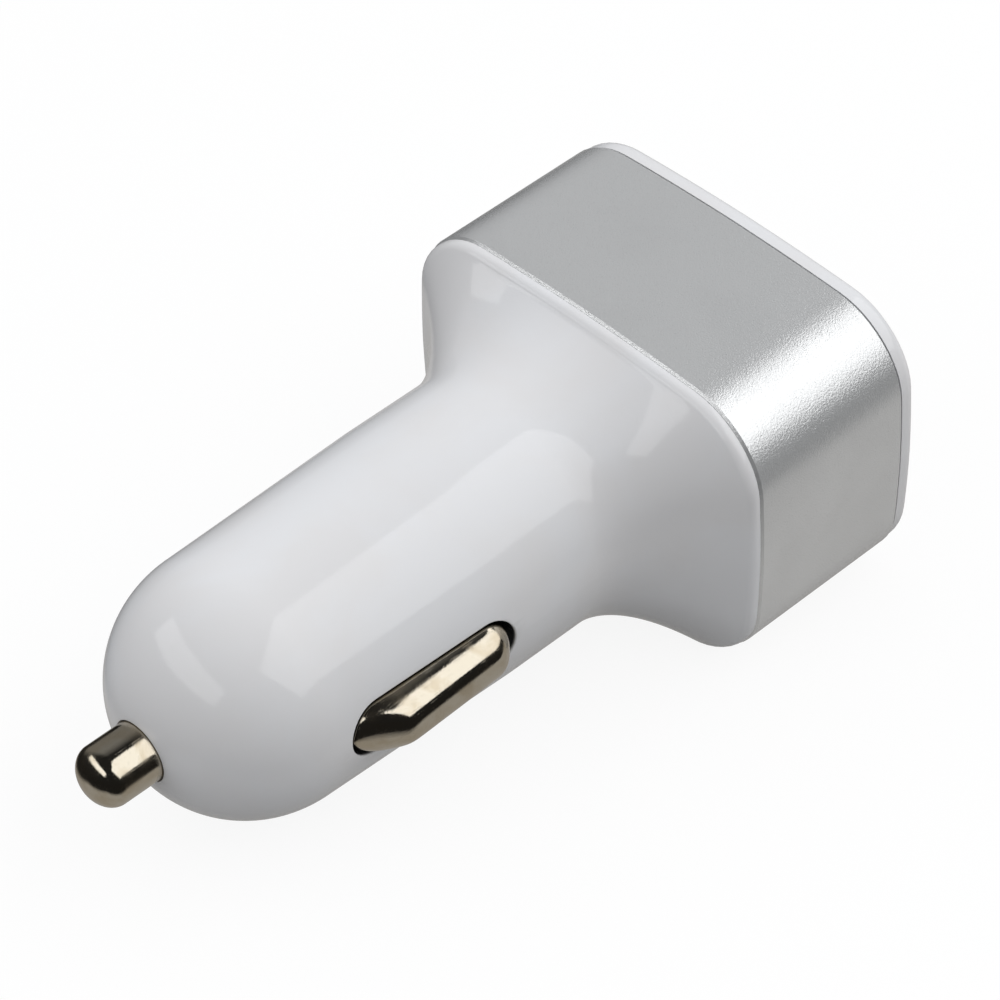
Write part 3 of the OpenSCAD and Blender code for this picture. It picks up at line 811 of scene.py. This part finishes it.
class PLUG_OT_trim_band(Operator):
    """Draws the aluminium band round the sleeve, with a bright cut edge at both ends"""

    bl_idname = "plug.trim_band"
    bl_label = "Trim band"

    def execute(self, context):
        front, back = BAND_LO.x + SEAM, BAND_HI.x - SEAM
        long_steps = 8
        rows = [row(front, head_outline(BAND_WALL)), row(front, head_outline(CHAMFER))]
        for i in range(long_steps + 1):
            x = front + CHAMFER + (back - front - 2 * CHAMFER) * i / long_steps
            rows.append(row(x, head_outline(0)))
        rows += [row(back, head_outline(CHAMFER)), row(back, head_outline(BAND_WALL))]
        bm = bmesh.new()
        skin(bm, rows, "joined")
        halfway, tolerance = math.sqrt(0.5), 0.1
        for face in bm.faces:
            face.material_index = 1 if abs(abs(face.normal.x) - halfway) < tolerance else 0
        piece = mesh_object(bm, "aluminium_band")
        finishes = [finish(satin_aluminium), finish(cut_aluminium)]
        finish_piece(piece, "body", "trim_band", finishes)
        return {"FINISHED"}


PORT_R = 0.5 * MM
PORT_WALL = 0.3 * MM
PORT_W = SHELL_HI.y - SHELL_LO.y
PORT_H = SHELL_HI.z - SHELL_LO.z
PORT_NUMBERS = (1, 2, 3)


def port_centre(number):
    """How far to the side a port lies"""
    low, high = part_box(f"usb_shell_{number}")
    return (low.y + high.y) / 2


def port_row(x, centre, margin, steps=6):
    """A port's outline, grown by a margin, as a row across the axis"""
    w, h, r = PORT_W / 2 + margin, PORT_H / 2 + margin, PORT_R + margin
    points = []
    for i, (sy, sz) in enumerate(((1, 1), (-1, 1), (-1, -1), (1, -1))):
        for k in range(steps + 1):
            a = math.pi / 2 * (i + k / steps)
            y = centre + sy * (w - r) + r * math.cos(a)
            points.append(Vector((x, y, sz * (h - r) + r * math.sin(a))))
    return points


def mouth_cutter(rows_at):
    """A solid through the face plate that flares to a rounded lip; rows_at gives a row for a growth"""
    rows = [rows_at(FACE_LO.x - MM, 0)]
    for depth, growth in lip_rows(lip=0.4 * MM, last=math.radians(75), over=0.3 * MM):
        rows.append(rows_at(FACE_HI.x - depth, growth))
    bm = bmesh.new()
    skin(bm, rows, "capped")
    return mesh_object(bm, "mouth_cutter")


class PLUG_OT_face_plate(Operator):
    """Moulds the face plate with its skirt, rounded edge and port openings"""

    bl_idname = "plug.face_plate"
    bl_label = "Face plate"

    def execute(self, context):
        face_x, plate_front = FACE_HI.x, BAND_HI.x
        edge_share, edge_steps, edge_flat, mouth_gap = 0.65, 10, 0.4 * MM, 0.1 * MM
        edge_r = edge_share * (face_x - plate_front)
        inner = head_outline(SKIRT_INSET + SKIRT_WALL)
        rows = [row(plate_front - PLATE_BACK, inner), row(plate_front - SKIRT_LEN, inner)]
        skirt = head_outline(SKIRT_INSET)
        rows += [row(plate_front - SKIRT_LEN, skirt), row(plate_front, skirt)]
        rows += [row(plate_front, head_outline(RIM_INSET))]
        for i in range(edge_steps + 1):
            a = math.pi / 2 * i / edge_steps
            inset = RIM_INSET + edge_r * (1 - math.cos(a))
            rows.append(row(face_x - edge_r + edge_r * math.sin(a), head_outline(inset)))
        rows.append(row(face_x, head_outline(RIM_INSET + edge_r + edge_flat)))
        centres = [port_centre(number) for number in PORT_NUMBERS]
        lamp_z = (PIPE_LO.z + PIPE_HI.z) / 2
        bm = bmesh.new()
        skin(bm, rows, "capped")
        score(bm, centres, Vector((0, 1, 0)))
        score(bm, (0, lamp_z), Vector((0, 0, 1)))
        piece = mesh_object(bm, "port_face")
        for centre in centres:
            carve(piece, mouth_cutter(lambda x, growth: port_row(x, centre, mouth_gap + growth)))
        hole_r, hole_steps, hole_lip = 0.95 * MM, 40, 0.3
        turn = [2 * math.pi * i / hole_steps for i in range(hole_steps)]

        def hole_row(x, growth):
            r = hole_r + growth * hole_lip
            return [Vector((x, r * math.cos(a), lamp_z + r * math.sin(a))) for a in turn]

        carve(piece, mouth_cutter(hole_row))
        finish_piece(piece, "body", "face_plate", [finish(white_plastic)])
        return {"FINISHED"}


class PLUG_OT_centre_pin(Operator):
    """Turns the sprung centre pin"""

    bl_idname = "plug.centre_pin"
    bl_label = "Centre pin"

    def execute(self, context):
        s = sizes()
        dome, dome_steps, shank_steps = 1.8 * MM, 22, 7
        flange_from_nose, flange_width = 2.65 * MM, 1.2 * MM
        flange_front = flange_from_nose - s.barrel_len
        flange_back = flange_front + flange_width
        flange_r, spigot_r, edge = 3.4 * MM, 1.2 * MM, 0.12 * MM
        profile = []
        for i in range(dome_steps + 1):
            a = math.pi / 2 * i / dome_steps
            profile.append((PIN_LO.x + dome * (1 - math.cos(a)), s.pin_r * math.sin(a)))
        shank = flange_front - PIN_LO.x - dome
        for i in range(1, shank_steps + 1):
            profile.append((PIN_LO.x + dome + shank * i / shank_steps, s.pin_r))
        profile += [(flange_front, flange_r - edge), (flange_front + edge, flange_r)]
        profile += [(flange_back - edge, flange_r), (flange_back, flange_r - edge), (flange_back, spigot_r)]
        profile += [(PIN_HI.x - edge, spigot_r), (PIN_HI.x, spigot_r - edge), (PIN_HI.x, 0)]
        bm = bmesh.new()
        lathe(bm, profile)
        piece = mesh_object(bm, "nickel_pin")
        finish_piece(piece, "centre_pin", "centre_pin", [finish(warm_nickel)])
        return {"FINISHED"}


class ContactForm:
    """Form of a stamped side contact: a ramp at the front, a nearly level crest and a rounded back"""

    # Gap to the slot, thickness of the sheet, and radius at which the arch stands
    gap = 0.14 * MM
    wall = 0.5 * MM
    base_r = 8 * MM
    # The ramp, the fall of the crest behind it, how they blend, and the length of the rounded back
    ramp_foot = 9.8 * MM
    ramp_slope = 0.66
    crest_fall = 0.035
    level_from = 4.5 * MM
    blend = 0.16 * MM
    back_round = 2.7 * MM
    # Powers that shape the arch across the contact, where 1 and 1 would be an ellipse
    crown, flank = 0.62, 0.8
    # The lip inside the barrel: its reach past the outline, and the radius at which it lies
    lip_reach = 0.84 * MM
    lip_r = 8.4 * MM

    def __init__(self):
        s = sizes()
        self.half_w = s.slot_w / 2 - self.gap
        self.front = self.gap - s.slot_back - s.slot_len
        self.back = -s.slot_back - self.gap

    def crest(self, x):
        """Height of the crest above the axis"""
        slot_front = -sizes().slot_back - sizes().slot_len
        ramp = self.ramp_foot + self.ramp_slope * (x - self.front)
        top = sizes().crest_r - self.crest_fall * max(x - slot_front - self.level_from, 0)
        lower = min(ramp, top)
        rounding = math.exp((lower - ramp) / self.blend) + math.exp((lower - top) / self.blend)
        low = lower - self.blend * math.log(rounding)
        into_round = max(0, (x - self.back + self.back_round) / self.back_round)
        return self.base_r + (low - self.base_r) * math.sqrt(max(0, 1 - into_round ** 2))

    def width_at(self, x):
        """Half width of the outline with round ends"""
        from_end = min(x - self.front, self.back - x)
        return self.half_w * math.sqrt(max(0, 1 - max(0, 1 - from_end / self.half_w) ** 2))

    def stations(self):
        """Stations along the contact, close together at its round ends"""
        ends, middle = 12, 40
        quarter = [self.half_w * (1 - math.cos(math.pi / 2 * i / ends)) for i in range(ends + 1)]
        reach = self.back - self.front - 2 * self.half_w
        straight = [self.front + self.half_w + reach * i / middle for i in range(1, middle)]
        return [self.front + q for q in quarter] + straight + [self.back - q for q in reversed(quarter)]

    def arch(self, x, steps=28):
        """Points over the contact at a station, from one foot to the other"""
        rise = max(self.crest(x) - self.base_r, 0)
        angles = [math.pi * i / steps for i in range(steps + 1)]
        return [
            Vector((x, self.base_r + rise * math.sin(a) ** self.crown,
                    -math.copysign(self.width_at(x) * abs(math.cos(a)) ** self.flank, math.cos(a))))
            for a in angles
        ]

    def lip_place(self, place):
        """Where the lip's edge lies outside a point of the outline"""
        x = min(max(place.x, self.front + self.half_w), self.back - self.half_w)
        out = Vector((place.x - x, place.z)).normalized() * (self.half_w + self.lip_reach)
        return Vector((x + out.x, math.sqrt(self.lip_r ** 2 - out.y ** 2), out.y))


class PLUG_OT_side_contacts(Operator):
    """Stamps the two sprung side contacts, each a shell with a lip inside the barrel"""

    bl_idname = "plug.side_contacts"
    bl_label = "Side contacts"

    def execute(self, context):
        form = ContactForm()
        for side, name in ((1, "left_contact"), (-1, "right_contact")):
            bm = bmesh.new()
            rows = [form.arch(x) for x in form.stations()]
            line = [bm.verts.new(place) for place in rows[0]]
            edges = [bm.edges.new(pair) for pair in zip(line, line[1:])]
            for places in rows[1:]:
                line, edges = grow(bm, line, edges, places)
            bmesh.ops.remove_doubles(bm, verts=bm.verts, dist=MERGE)
            border = [e for e in bm.edges if e.is_boundary]
            grown = bmesh.ops.extrude_edge_only(bm, edges=border)["geom"]
            for vert in (item for item in grown if isinstance(item, bmesh.types.BMVert)):
                vert.co = form.lip_place(vert.co)
            bmesh.ops.recalc_face_normals(bm, faces=bm.faces)
            crest = max(bm.faces, key=lambda face: face.calc_center_median().y)
            if crest.normal.y < 0:
                bmesh.ops.reverse_faces(bm, faces=bm.faces)
            if side < 0:
                bmesh.ops.scale(bm, vec=(1, -1, 1), verts=bm.verts)
                bmesh.ops.reverse_faces(bm, faces=bm.faces)
            piece = mesh_object(bm, f"{name}_shell")
            wall = piece.modifiers.new("wall", "SOLIDIFY")
            wall.thickness = form.wall
            wall.offset = -1
            finish_piece(piece, name, name, [finish(warm_nickel)])
        return {"FINISHED"}


def merged_copy(node, name, dissolve=True, round_by=0.0):
    """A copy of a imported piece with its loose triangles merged, and its edges slightly rounded if asked"""
    bm = bmesh.new()
    bm.from_mesh(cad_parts[node].data)
    bmesh.ops.remove_doubles(bm, verts=bm.verts, dist=MERGE)
    if dissolve:
        bmesh.ops.dissolve_limit(bm, angle_limit=FLAT_ANGLE, verts=bm.verts, edges=bm.edges)
    if round_by:
        sharp = [e for e in bm.edges if len(e.link_faces) == 2 and e.calc_face_angle() > SMOOTH_ANGLE]
        bmesh.ops.bevel(bm, geom=sharp, offset=round_by, offset_type="OFFSET", affect="EDGES", segments=2,
                        profile=0.5, material=-1, clamp_overlap=True)
    piece = mesh_object(bm, name)
    packed_normals = piece.data.attributes.get("custom_normal")
    if packed_normals:
        piece.data.attributes.remove(packed_normals)
    return piece


def finish_packed(rows, ending="part", round_by=0.0):
    """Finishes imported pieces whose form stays, given as rows of node, slot and finish"""
    for node, slot, maker in rows:
        piece = merged_copy(node, f"{node}_{ending}", round_by=round_by)
        finish_piece(piece, "body", node, [finish(maker)])


class PLUG_OT_springs(Operator):
    """Winds the three coil springs"""

    bl_idname = "plug.springs"
    bl_label = "Springs"

    def execute(self, context):
        springs = (
            ("pin_spring", "centre_pin_slide", Vector((1, 0, 0)), "high"),
            ("left_contact_spring", "left_contact_slide", Vector((0, 1, 0)), "low"),
            ("right_contact_spring", "right_contact_slide", Vector((0, 1, 0)), "high"),
        )
        for node, joint, axis, fixed in springs:
            piece = merged_copy(node, f"{node}_wire", dissolve=False)
            finish_piece(piece, "body", node, [finish(spring_steel)])
            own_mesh(piece)
        return {"FINISHED"}


class PLUG_OT_terminals(Operator):
    """Stamps the brass terminals behind the springs"""

    bl_idname = "plug.terminals"
    bl_label = "Terminals"

    def execute(self, context):
        nodes = ("positive_terminal", "left_terminal", "right_terminal")
        finish_packed([(node, "brass", brass) for node in nodes], "strip", 0.06 * MM)
        return {"FINISHED"}


def shell_finger(bm, centre, side, z):
    """A spring leaf on a port shell's inner wall, bent into the port"""
    thickness, width, sunk = 0.15 * MM, 1.7 * MM, 0.02 * MM
    bend, bent_share = 0.38 * MM, 0.8
    front, length, steps = SHELL_HI.x - 1.2 * MM, 5.2 * MM, 14
    inner = centre + side * (PORT_W / 2 - PORT_WALL)
    rows = []
    for i in range(steps + 1):
        share = i / steps
        depth = bend * math.sin(math.pi * min(share / bent_share, 1.0)) ** 2
        near, far = inner - side * (depth - sunk), inner - side * (depth + thickness)
        x = front - length * share
        corners = ((near, z - width / 2), (near, z + width / 2), (far, z + width / 2), (far, z - width / 2))
        rows.append([Vector((x, y, height)) for y, height in corners])
    skin(bm, rows, "capped")


class PLUG_OT_ports(Operator):
    """Folds the port shells with their spring leaves, and adds the tongues and their pads"""

    bl_idname = "plug.ports"
    bl_label = "Ports"

    def execute(self, context):
        wall, edge, leaf_z = PORT_WALL, 0.1 * MM, 3 * MM
        for number in PORT_NUMBERS:
            centre = port_centre(number)
            low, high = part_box(f"usb_shell_{number}")
            bm = bmesh.new()
            rows = [port_row(low.x, centre, 0), port_row(high.x - edge, centre, 0)]
            rows += [port_row(high.x, centre, -edge), port_row(high.x, centre, edge - wall)]
            rows += [port_row(high.x - edge, centre, -wall), port_row(low.x + wall, centre, -wall)]
            skin(bm, rows, "capped")
            for side in (-1, 1):
                for z in (-leaf_z, leaf_z):
                    shell_finger(bm, centre, side, z)
            piece = mesh_object(bm, f"port_shell_{number}")
            finish_piece(piece, "body", f"usb_shell_{number}", [finish(port_steel)])
            piece = merged_copy(f"usb_tongue_{number}", f"port_tongue_{number}", dissolve=False)
            finish_piece(piece, "body", f"usb_tongue_{number}", [finish(white_insulator)])
            piece = merged_copy(f"usb_contacts_{number}", f"port_pads_{number}", round_by=0.04 * MM)
            finish_piece(piece, "body", f"usb_contacts_{number}", [finish(gold_plate)])
        return {"FINISHED"}


class PLUG_OT_light_pipe(Operator):
    """Turns the clear light pipe and sets the lamp behind it"""

    bl_idname = "plug.light_pipe"
    bl_label = "Light pipe"

    def execute(self, context):
        rows = (("light_pipe", "clear_pipe", clear_rod), ("status_led", "lamp_resin", lamp_resin))
        finish_packed(rows, round_by=0.08 * MM)
        return {"FINISHED"}


class PLUG_OT_boards(Operator):
    """Finishes the two circuit boards and the row of pins that joins them"""

    bl_idname = "plug.boards"
    bl_label = "Boards"

    def execute(self, context):
        rows = (
            ("main_board", "circuit_board", circuit_board),
            ("port_board", "circuit_board", circuit_board),
            ("board_header", "black_plastic", black_moulding),
        )
        finish_packed(rows, round_by=0.05 * MM)
        return {"FINISHED"}


class PLUG_OT_power_parts(Operator):
    """Finishes the inductor, capacitors, chip, diode and fuse"""

    bl_idname = "plug.power_parts"
    bl_label = "Power parts"

    def execute(self, context):
        rows = (
            ("inductor_core", "ferrite", ferrite),
            ("inductor_winding", "enamelled_copper", copper_wire),
            ("input_capacitor", "capacitor_can", capacitor_sleeve),
            ("output_capacitor", "capacitor_can", capacitor_sleeve),
            ("converter_chip", "black_plastic", black_moulding),
            ("diode", "black_plastic", black_moulding),
            ("fuse", "fuse_body", ceramic_body),
        )
        finish_packed(rows)
        return {"FINISHED"}


# The camera's direction in degrees, its distance, its shift across the view and its lens
CAMERA_AZIMUTH = -42.2
CAMERA_ELEVATION = 44.6
CAMERA_ROLL = -2.017
CAMERA_DISTANCE = 308.07 * MM
CAMERA_SLIDE = (-6.582 * MM, -4.269 * MM)
CAMERA_LENS = 150.64
CAMERA_SENSOR = 36
# The lamps and surroundings: directions in degrees, and brightness, where 1 is white
LAMP_LEVEL = 1.4
LAMP_DISTANCE = 0.6
WALL_AZIMUTH = 55
WALL_ELEVATION = 20
WALL_EDGE = (0.6, 0.85)
WALL_LEVEL = 0.2
ROOM_LEVEL = 0.015
SKY_AZIMUTH = 60
SKY_ELEVATION = 25
SKY_LEVELS = (0.02, 0.95)
SKY_EDGE = (-0.9, 0.9)
SKY_TINT = (0.97, 0.98, 1, 1)
# The floor: brightness, place of its bright part in reflections, size, and gap below the plug
FLOOR_LEVEL = 0.37
FLOOR_TINT = (1, 0.97, 0.93, 1)
FLOOR_BOUNCE = 0.37
FLOOR_WHITE = 0.9
FLOOR_NEAR = 29 * MM
FLOOR_FAR = 35 * MM
FLOOR_WIDENING = 0.42
FLOOR_AHEAD = -23 * MM
FLOOR_SIZE = 1.2
FLOOR_GAP = 0.06 * MM


def from_angles(azimuth, elevation):
    """A direction from degrees round the vertical, from the X axis towards Y, and degrees above the floor"""
    a, e = math.radians(azimuth), math.radians(elevation)
    return Vector((math.cos(a) * math.cos(e), math.sin(a) * math.cos(e), math.sin(e)))


def soft_box(name, azimuth, elevation, width, height):
    """A rectangular lamp that faces the plug, as bright all over as the lamp level says"""
    lamp = bpy.data.lights.new(name, "AREA")
    lamp.shape = "RECTANGLE"
    lamp.size = width
    lamp.size_y = height
    lamp.energy = LAMP_LEVEL * math.pi * width * height
    made = bpy.data.objects.new(name, lamp)
    direction = from_angles(azimuth, elevation)
    turn = direction.to_track_quat("Z", "Y").to_matrix().to_4x4()
    made.matrix_world = Matrix.Translation(direction * LAMP_DISTANCE) @ turn
    bpy.context.scene.collection.objects.link(made)


def facing(tree, direction, azimuth, elevation):
    """How far a direction faces another one, from -1 to 1"""
    towards = from_angles(azimuth, elevation)
    inputs = {0: direction, 1: towards}
    return put(tree, "ShaderNodeVectorMath", inputs, operation="DOT_PRODUCT").outputs["Value"]


def studio_world():
    """White to the camera, a gradient to diffuse light, and a dark room with a grey wall in reflections"""
    world = bpy.data.worlds.new("studio")
    world.use_nodes = True
    bpy.context.scene.world = world
    tree = world.node_tree
    tree.nodes.clear()
    direction = put(tree, "ShaderNodeTexCoord").outputs["Generated"]
    to_wall = facing(tree, direction, WALL_AZIMUTH, WALL_ELEVATION)
    wall = spread(tree, to_wall, *WALL_EDGE, ROOM_LEVEL, WALL_LEVEL)
    room = put(tree, "ShaderNodeBackground", {"Color": (1, 1, 1, 1), "Strength": wall}).outputs[0]
    sky = spread(tree, facing(tree, direction, SKY_AZIMUTH, SKY_ELEVATION), *SKY_EDGE, *SKY_LEVELS)
    soft = put(tree, "ShaderNodeBackground", {"Color": SKY_TINT, "Strength": sky}).outputs[0]
    white = put(tree, "ShaderNodeBackground", {"Color": (1, 1, 1, 1), "Strength": 1.0}).outputs[0]
    rays = put(tree, "ShaderNodeLightPath").outputs
    seen = calculate(tree, "MAXIMUM", rays["Is Glossy Ray"], rays["Is Transmission Ray"])
    lit = put(tree, "ShaderNodeMixShader", {0: seen, 1: soft, 2: room}).outputs[0]
    whole = put(tree, "ShaderNodeMixShader", {0: rays["Is Camera Ray"], 1: lit, 2: white}).outputs[0]
    put(tree, "ShaderNodeOutputWorld", {"Surface": whole})


def floor_material():
    """Pale floor: nearly white to the camera, grey in reflections close to the plug, and dark further off"""
    material = bpy.data.materials.new("pale_floor")
    material.use_nodes = True
    tree = material.node_tree
    tree.nodes.clear()
    place = put(tree, "ShaderNodeTexCoord").outputs["Object"]
    parts = put(tree, "ShaderNodeSeparateXYZ", {0: place}).outputs
    aside = put(tree, "ShaderNodeMath", {0: parts["Y"]}, operation="ABSOLUTE").outputs[0]
    spread_out = calculate(tree, "SUBTRACT", aside, calculate(tree, "MULTIPLY", parts["X"], FLOOR_WIDENING))
    ahead = calculate(tree, "SUBTRACT", FLOOR_AHEAD, parts["X"])
    reach = calculate(tree, "MAXIMUM", spread_out, ahead)
    near = spread(tree, reach, FLOOR_NEAR, FLOOR_FAR, FLOOR_LEVEL, ROOM_LEVEL)
    mirrored = put(tree, "ShaderNodeEmission", {"Color": FLOOR_TINT, "Strength": near}).outputs[0]
    rays = put(tree, "ShaderNodeLightPath").outputs
    tone = blend_colours(tree, rays["Is Camera Ray"], opaque(3 * [FLOOR_BOUNCE]), (0.95, 0.95, 0.95, 1))
    pale = put(tree, "ShaderNodeBsdfDiffuse", {"Color": tone}).outputs[0]
    white = put(tree, "ShaderNodeEmission", {"Color": (1, 1, 1, 1), "Strength": 1.0}).outputs[0]
    seen = calculate(tree, "MAXIMUM", rays["Is Glossy Ray"], rays["Is Transmission Ray"])
    camera_share = calculate(tree, "MULTIPLY", rays["Is Camera Ray"], FLOOR_WHITE)
    lit = put(tree, "ShaderNodeMixShader", {0: camera_share, 1: pale, 2: white}).outputs[0]
    whole = put(tree, "ShaderNodeMixShader", {0: seen, 1: lit, 2: mirrored}).outputs[0]
    put(tree, "ShaderNodeOutputMaterial", {"Surface": whole})
    return material


class PLUG_OT_studio(Operator):
    """Sets up the floor that the plug lies on, the lamps, the surroundings and the camera"""

    bl_idname = "plug.studio"
    bl_label = "Studio"

    def lay_floor(self):
        """A floor that touches the head's lowest edge and the dome's underside"""
        s = sizes()
        dome_back = s.dome_len - s.barrel_len
        run = BAND_HI.x - dome_back
        tilt = math.atan((s.head_h / 2 - s.nose_r) / run)
        bm = bmesh.new()
        bmesh.ops.create_grid(bm, x_segments=2, y_segments=2, size=FLOOR_SIZE)
        bmesh.ops.rotate(bm, cent=(0, 0, 0), matrix=Matrix.Rotation(tilt, 3, "Y"), verts=bm.verts)
        touch = Vector((BAND_HI.x, 0, -s.head_h / 2 - FLOOR_GAP))
        bmesh.ops.translate(bm, vec=touch, verts=bm.verts)
        floor = mesh_object(bm, "floor")
        floor.data.materials.append(floor_material())

    def place_camera(self, scene):
        """The camera at the angle of the view that the plug is shown in"""
        data = bpy.data.cameras.new("camera")
        data.lens = CAMERA_LENS
        data.sensor_width = CAMERA_SENSOR
        data.clip_start = 10 * MM
        made = bpy.data.objects.new("camera", data)
        scene.collection.objects.link(made)
        back = from_angles(CAMERA_AZIMUTH - 90, CAMERA_ELEVATION)
        level = Vector((0, 0, 1)).cross(back).normalized()
        roll = Matrix.Rotation(math.radians(CAMERA_ROLL), 3, back)
        right = roll @ level
        up = roll @ back.cross(level)
        aim = Vector((sizes().neck_len, 0, 0))
        place = aim + back * CAMERA_DISTANCE + right * CAMERA_SLIDE[0] + up * CAMERA_SLIDE[1]
        turn = Matrix((right, up, back)).transposed().to_4x4()
        made.matrix_world = Matrix.Translation(place) @ turn
        scene.camera = made

    def execute(self, context):
        scene = context.scene
        scene.view_settings.view_transform = "Standard"
        self.lay_floor()
        studio_world()
        soft_box("key_box", azimuth=-48, elevation=44.5, width=0.97, height=0.56)
        soft_box("side_box", azimuth=162, elevation=38, width=0.95, height=0.2)
        self.place_camera(scene)
        return {"FINISHED"}


PIECE_OPERATORS = (
    PLUG_OT_housing,
    PLUG_OT_trim_band,
    PLUG_OT_face_plate,
    PLUG_OT_light_pipe,
    PLUG_OT_centre_pin,
    PLUG_OT_side_contacts,
    PLUG_OT_springs,
    PLUG_OT_terminals,
    PLUG_OT_ports,
    PLUG_OT_boards,
    PLUG_OT_power_parts,
    PLUG_OT_studio,
)


class PLUG_PT_pieces(Panel):
    """Lists the pieces in the sidebar"""

    bl_idname = "PLUG_PT_pieces"
    bl_label = "Charger plug"
    bl_space_type = "VIEW_3D"
    bl_region_type = "UI"
    bl_category = "Plug"

    def draw(self, context):
        for group in (context.scene.plug_sizes, context.scene.plug_colours):
            box = self.layout.box()
            for name in group.bl_rna.properties.keys():
                if name not in ("rna_type", "name"):
                    box.prop(group, name)
        for operator in PIECE_OPERATORS:
            self.layout.operator(operator.bl_idname)


CLASSES = (PlugSizes, PlugColours, *PIECE_OPERATORS, PLUG_PT_pieces)


def register():
    """Registers the classes and their settings"""
    for cls in CLASSES:
        bpy.utils.register_class(cls)
    bpy.types.Scene.plug_sizes = PointerProperty(type=PlugSizes)
    bpy.types.Scene.plug_colours = PointerProperty(type=PlugColours)


def unregister():
    """Removes the settings and the classes"""
    del bpy.types.Scene.plug_colours
    del bpy.types.Scene.plug_sizes
    for cls in reversed(CLASSES):
        bpy.utils.unregister_class(cls)


def main():
    """Builds every piece and the studio"""
    register()
    for operator in PIECE_OPERATORS:
        group, name = operator.bl_idname.split(".")
        getattr(getattr(bpy.ops, group), name)()


if __name__ == "__main__":
    main()
